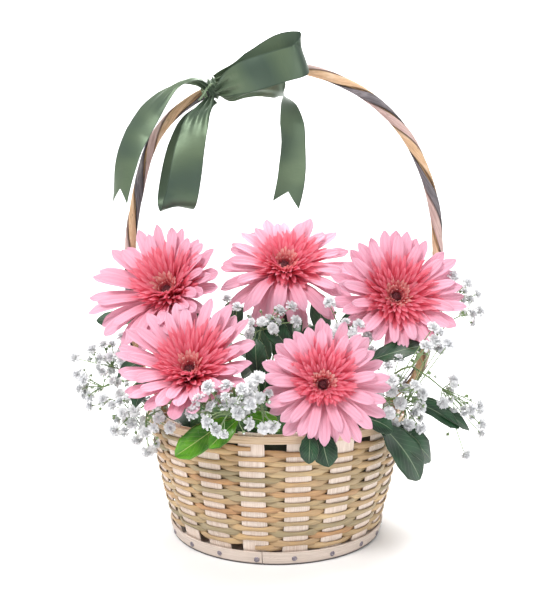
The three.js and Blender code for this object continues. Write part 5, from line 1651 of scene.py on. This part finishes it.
def make_light(name, place, aim, size, power):
    data = bpy.data.lights.new(name, "AREA")
    data.shape = "DISK"
    data.size = size * MM
    data.energy = power
    light = bpy.data.objects.new(name, data)
    light.location = Vector(place) * MM
    light.rotation_euler = (Vector(aim) - Vector(place)).to_track_quat("-Z", "Y").to_euler()
    bpy.context.scene.collection.objects.link(light)


def make_studio():
    for name, light in LIGHTS.items():
        make_light(name, *light)
    world = bpy.data.worlds.new("studio")
    world.use_nodes = True
    sky = world.node_tree.nodes["Background"]
    sky.inputs["Color"].default_value = (1, 1, 1, 1)
    sky.inputs["Strength"].default_value = SKY_STRENGTH
    bpy.context.scene.world = world
    bpy.context.scene.view_settings.view_transform = "Standard"


def make_floor():
    form = Form()
    rows = []
    for y, z in FLOOR_PROFILE:
        across = (-FLOOR_HALF_WIDTH, 0, FLOOR_HALF_WIDTH)
        rows.append([form.corner(Vector((x, y, z)), (0, 0, 0)) for x in across])
    form.grid(rows)
    mesh = bpy.data.meshes.new("floor")
    mesh.from_pydata(form.corners, [], form.faces)
    mesh.materials.append(floor_finish())
    mesh.polygons.foreach_set("use_smooth", [True] * len(form.faces))
    floor = bpy.data.objects.new("floor", mesh)
    bpy.context.scene.collection.objects.link(floor)


# Making

def make_basket():
    splint = splint_finish("splint", "f1e4da", "d6c3b4")
    cane = cane_finish()
    rim = splint_finish("rim_cane", "e2cbae", "bd9d7d", 0.5)
    make_piece("stakes", stake_form(), [splint], ["basket_stakes"], crease=50)
    make_piece("base", base_form(), [splint], crease=40)
    make_piece("weave", weave_form(), [cane], ["basket_weave"], crease=60)
    make_piece("foot_hoop", foot_hoop_form(), [hoop_finish(), metal_finish()],
               ["basket_foot_hoop"], crease=50)
    make_piece("outer_rim", rim_form(OUTER_RIM, 150, 0.2), [rim],
               ["basket_rim_outer"], crease=50)
    make_piece("inner_rim", rim_form(INNER_RIM, 210, 0.7), [rim],
               ["basket_rim_inner"], crease=50)
    make_piece("liner", liner_form(), [liner_finish()], ["basket_liner"])
    make_piece("foam", foam_form(), [foam_finish()], ["floral_foam"])


def make_handle():
    barks = {
        "tan": bark_finish("tan_bark", "b48e6b", "dbb894", "e8d2b8"),
        "mauve": bark_finish("mauve_bark", "a48680", "cfb3ac", "dcc8bf"),
        "grey": bark_finish("grey_bark", "4a4548", "7d767a", "9c9396"),
    }
    make_piece("core", core_form(), [bark_finish("handle_cane", "8f6c4a", "bd9870", "cdb08a")],
               ["handle_core"], crease=60)
    for number, (name, finish) in enumerate(barks.items()):
        make_piece("strip_" + name, strip_form(number), [finish], ["handle_strip_" + name],
                   crease=50)
    for name, bearing in (("right", RIGHT_FOOT), ("left", LEFT_FOOT)):
        make_piece("lashing_" + name, lashing_form(bearing, 0.3), [barks["mauve"]],
                   ["handle_lashing_" + name], crease=50)


def make_bow():
    satin = satin_finish()
    ribbons = {
        "bow_loop": (LOOP, 1.2, 0.5),
        "bow_hanging_loop": (HANGING_LOOP, 0.2, 1.7),
        "bow_left_tail": (LEFT_TAIL, -1.4, 2.6),
        "bow_right_tail": (RIGHT_TAIL, 1.2, 3.9),
    }
    for name, (shape, cup, phase) in ribbons.items():
        form, length = ribbon_form(shape, cup, phase)
        cloth = make_piece(name + "_ribbon", form, [satin], [name])
    knot = make_piece("knot", knot_form(), [satin], ["bow_knot"])
    make_piece("tie", tie_form(), [tie_finish()], ["bow_tie"])


def make_gerberas():
    ray = ray_finish()
    floret = floret_finish()
    disc = disc_finish()
    eye = eye_finish()
    stem = stem_finish("gerbera_stem", "6b8a45", "98b06a")
    for flower in GERBERAS:
        name = flower["name"]
        make_piece(name + "_outer", ray_form(flower), [ray], [name + "_rays"])
        make_piece(name + "_inner", floret_form(flower), [floret, disc], [name + "_florets"])
        make_piece(name + "_middle", eye_form(flower), [eye], [name + "_eye"])
        make_piece(name + "_stalk", gerbera_stem_form(flower), [stem], [name + "_stem"])


def make_greens():
    stem = stem_finish("shoot_stem", "4c6b34", "7d9556")
    finishes = {
        "dark": [
            leaf_finish("dark_leaf", "122c1b", "224a2c", "8fa07f", 0.3),
            leaf_finish("dark_leaf_back", "2c4534", "3f5f49", "97a889", 0.45),
            stem,
        ],
        "bright": [
            leaf_finish("bright_leaf", "2f6410", "5a981f", "c3d47c", 0.2),
            leaf_finish("bright_leaf_back", "6b9a45", "86b25e", "cfdc9a", 0.5),
            stem,
        ],
    }
    for name, green, top, foot, leaves in SHOOTS:
        make_piece(name + "_shoot", shoot_form(top, foot, leaves), finishes[green], [name])


def make_gypsophila():
    finishes = [petal_white_finish(), stem_finish("twig_green", "5f7a4c", "8fa573")]
    for name, top, foot, forks in SPRAYS:
        depth, places = MORE_BLOSSOMS.get(name, (0, []))
        more = [Vector((across, depth + between(-7, 7), up)) for across, up in places]
        form = spray_form(top, foot, forks, more)
        make_piece(name + "_spray", form, finishes, [name])


random.seed(29)
make_camera()
make_studio()
make_floor()
make_basket()
make_handle()
make_bow()
make_gerberas()
make_greens()
make_gypsophila()
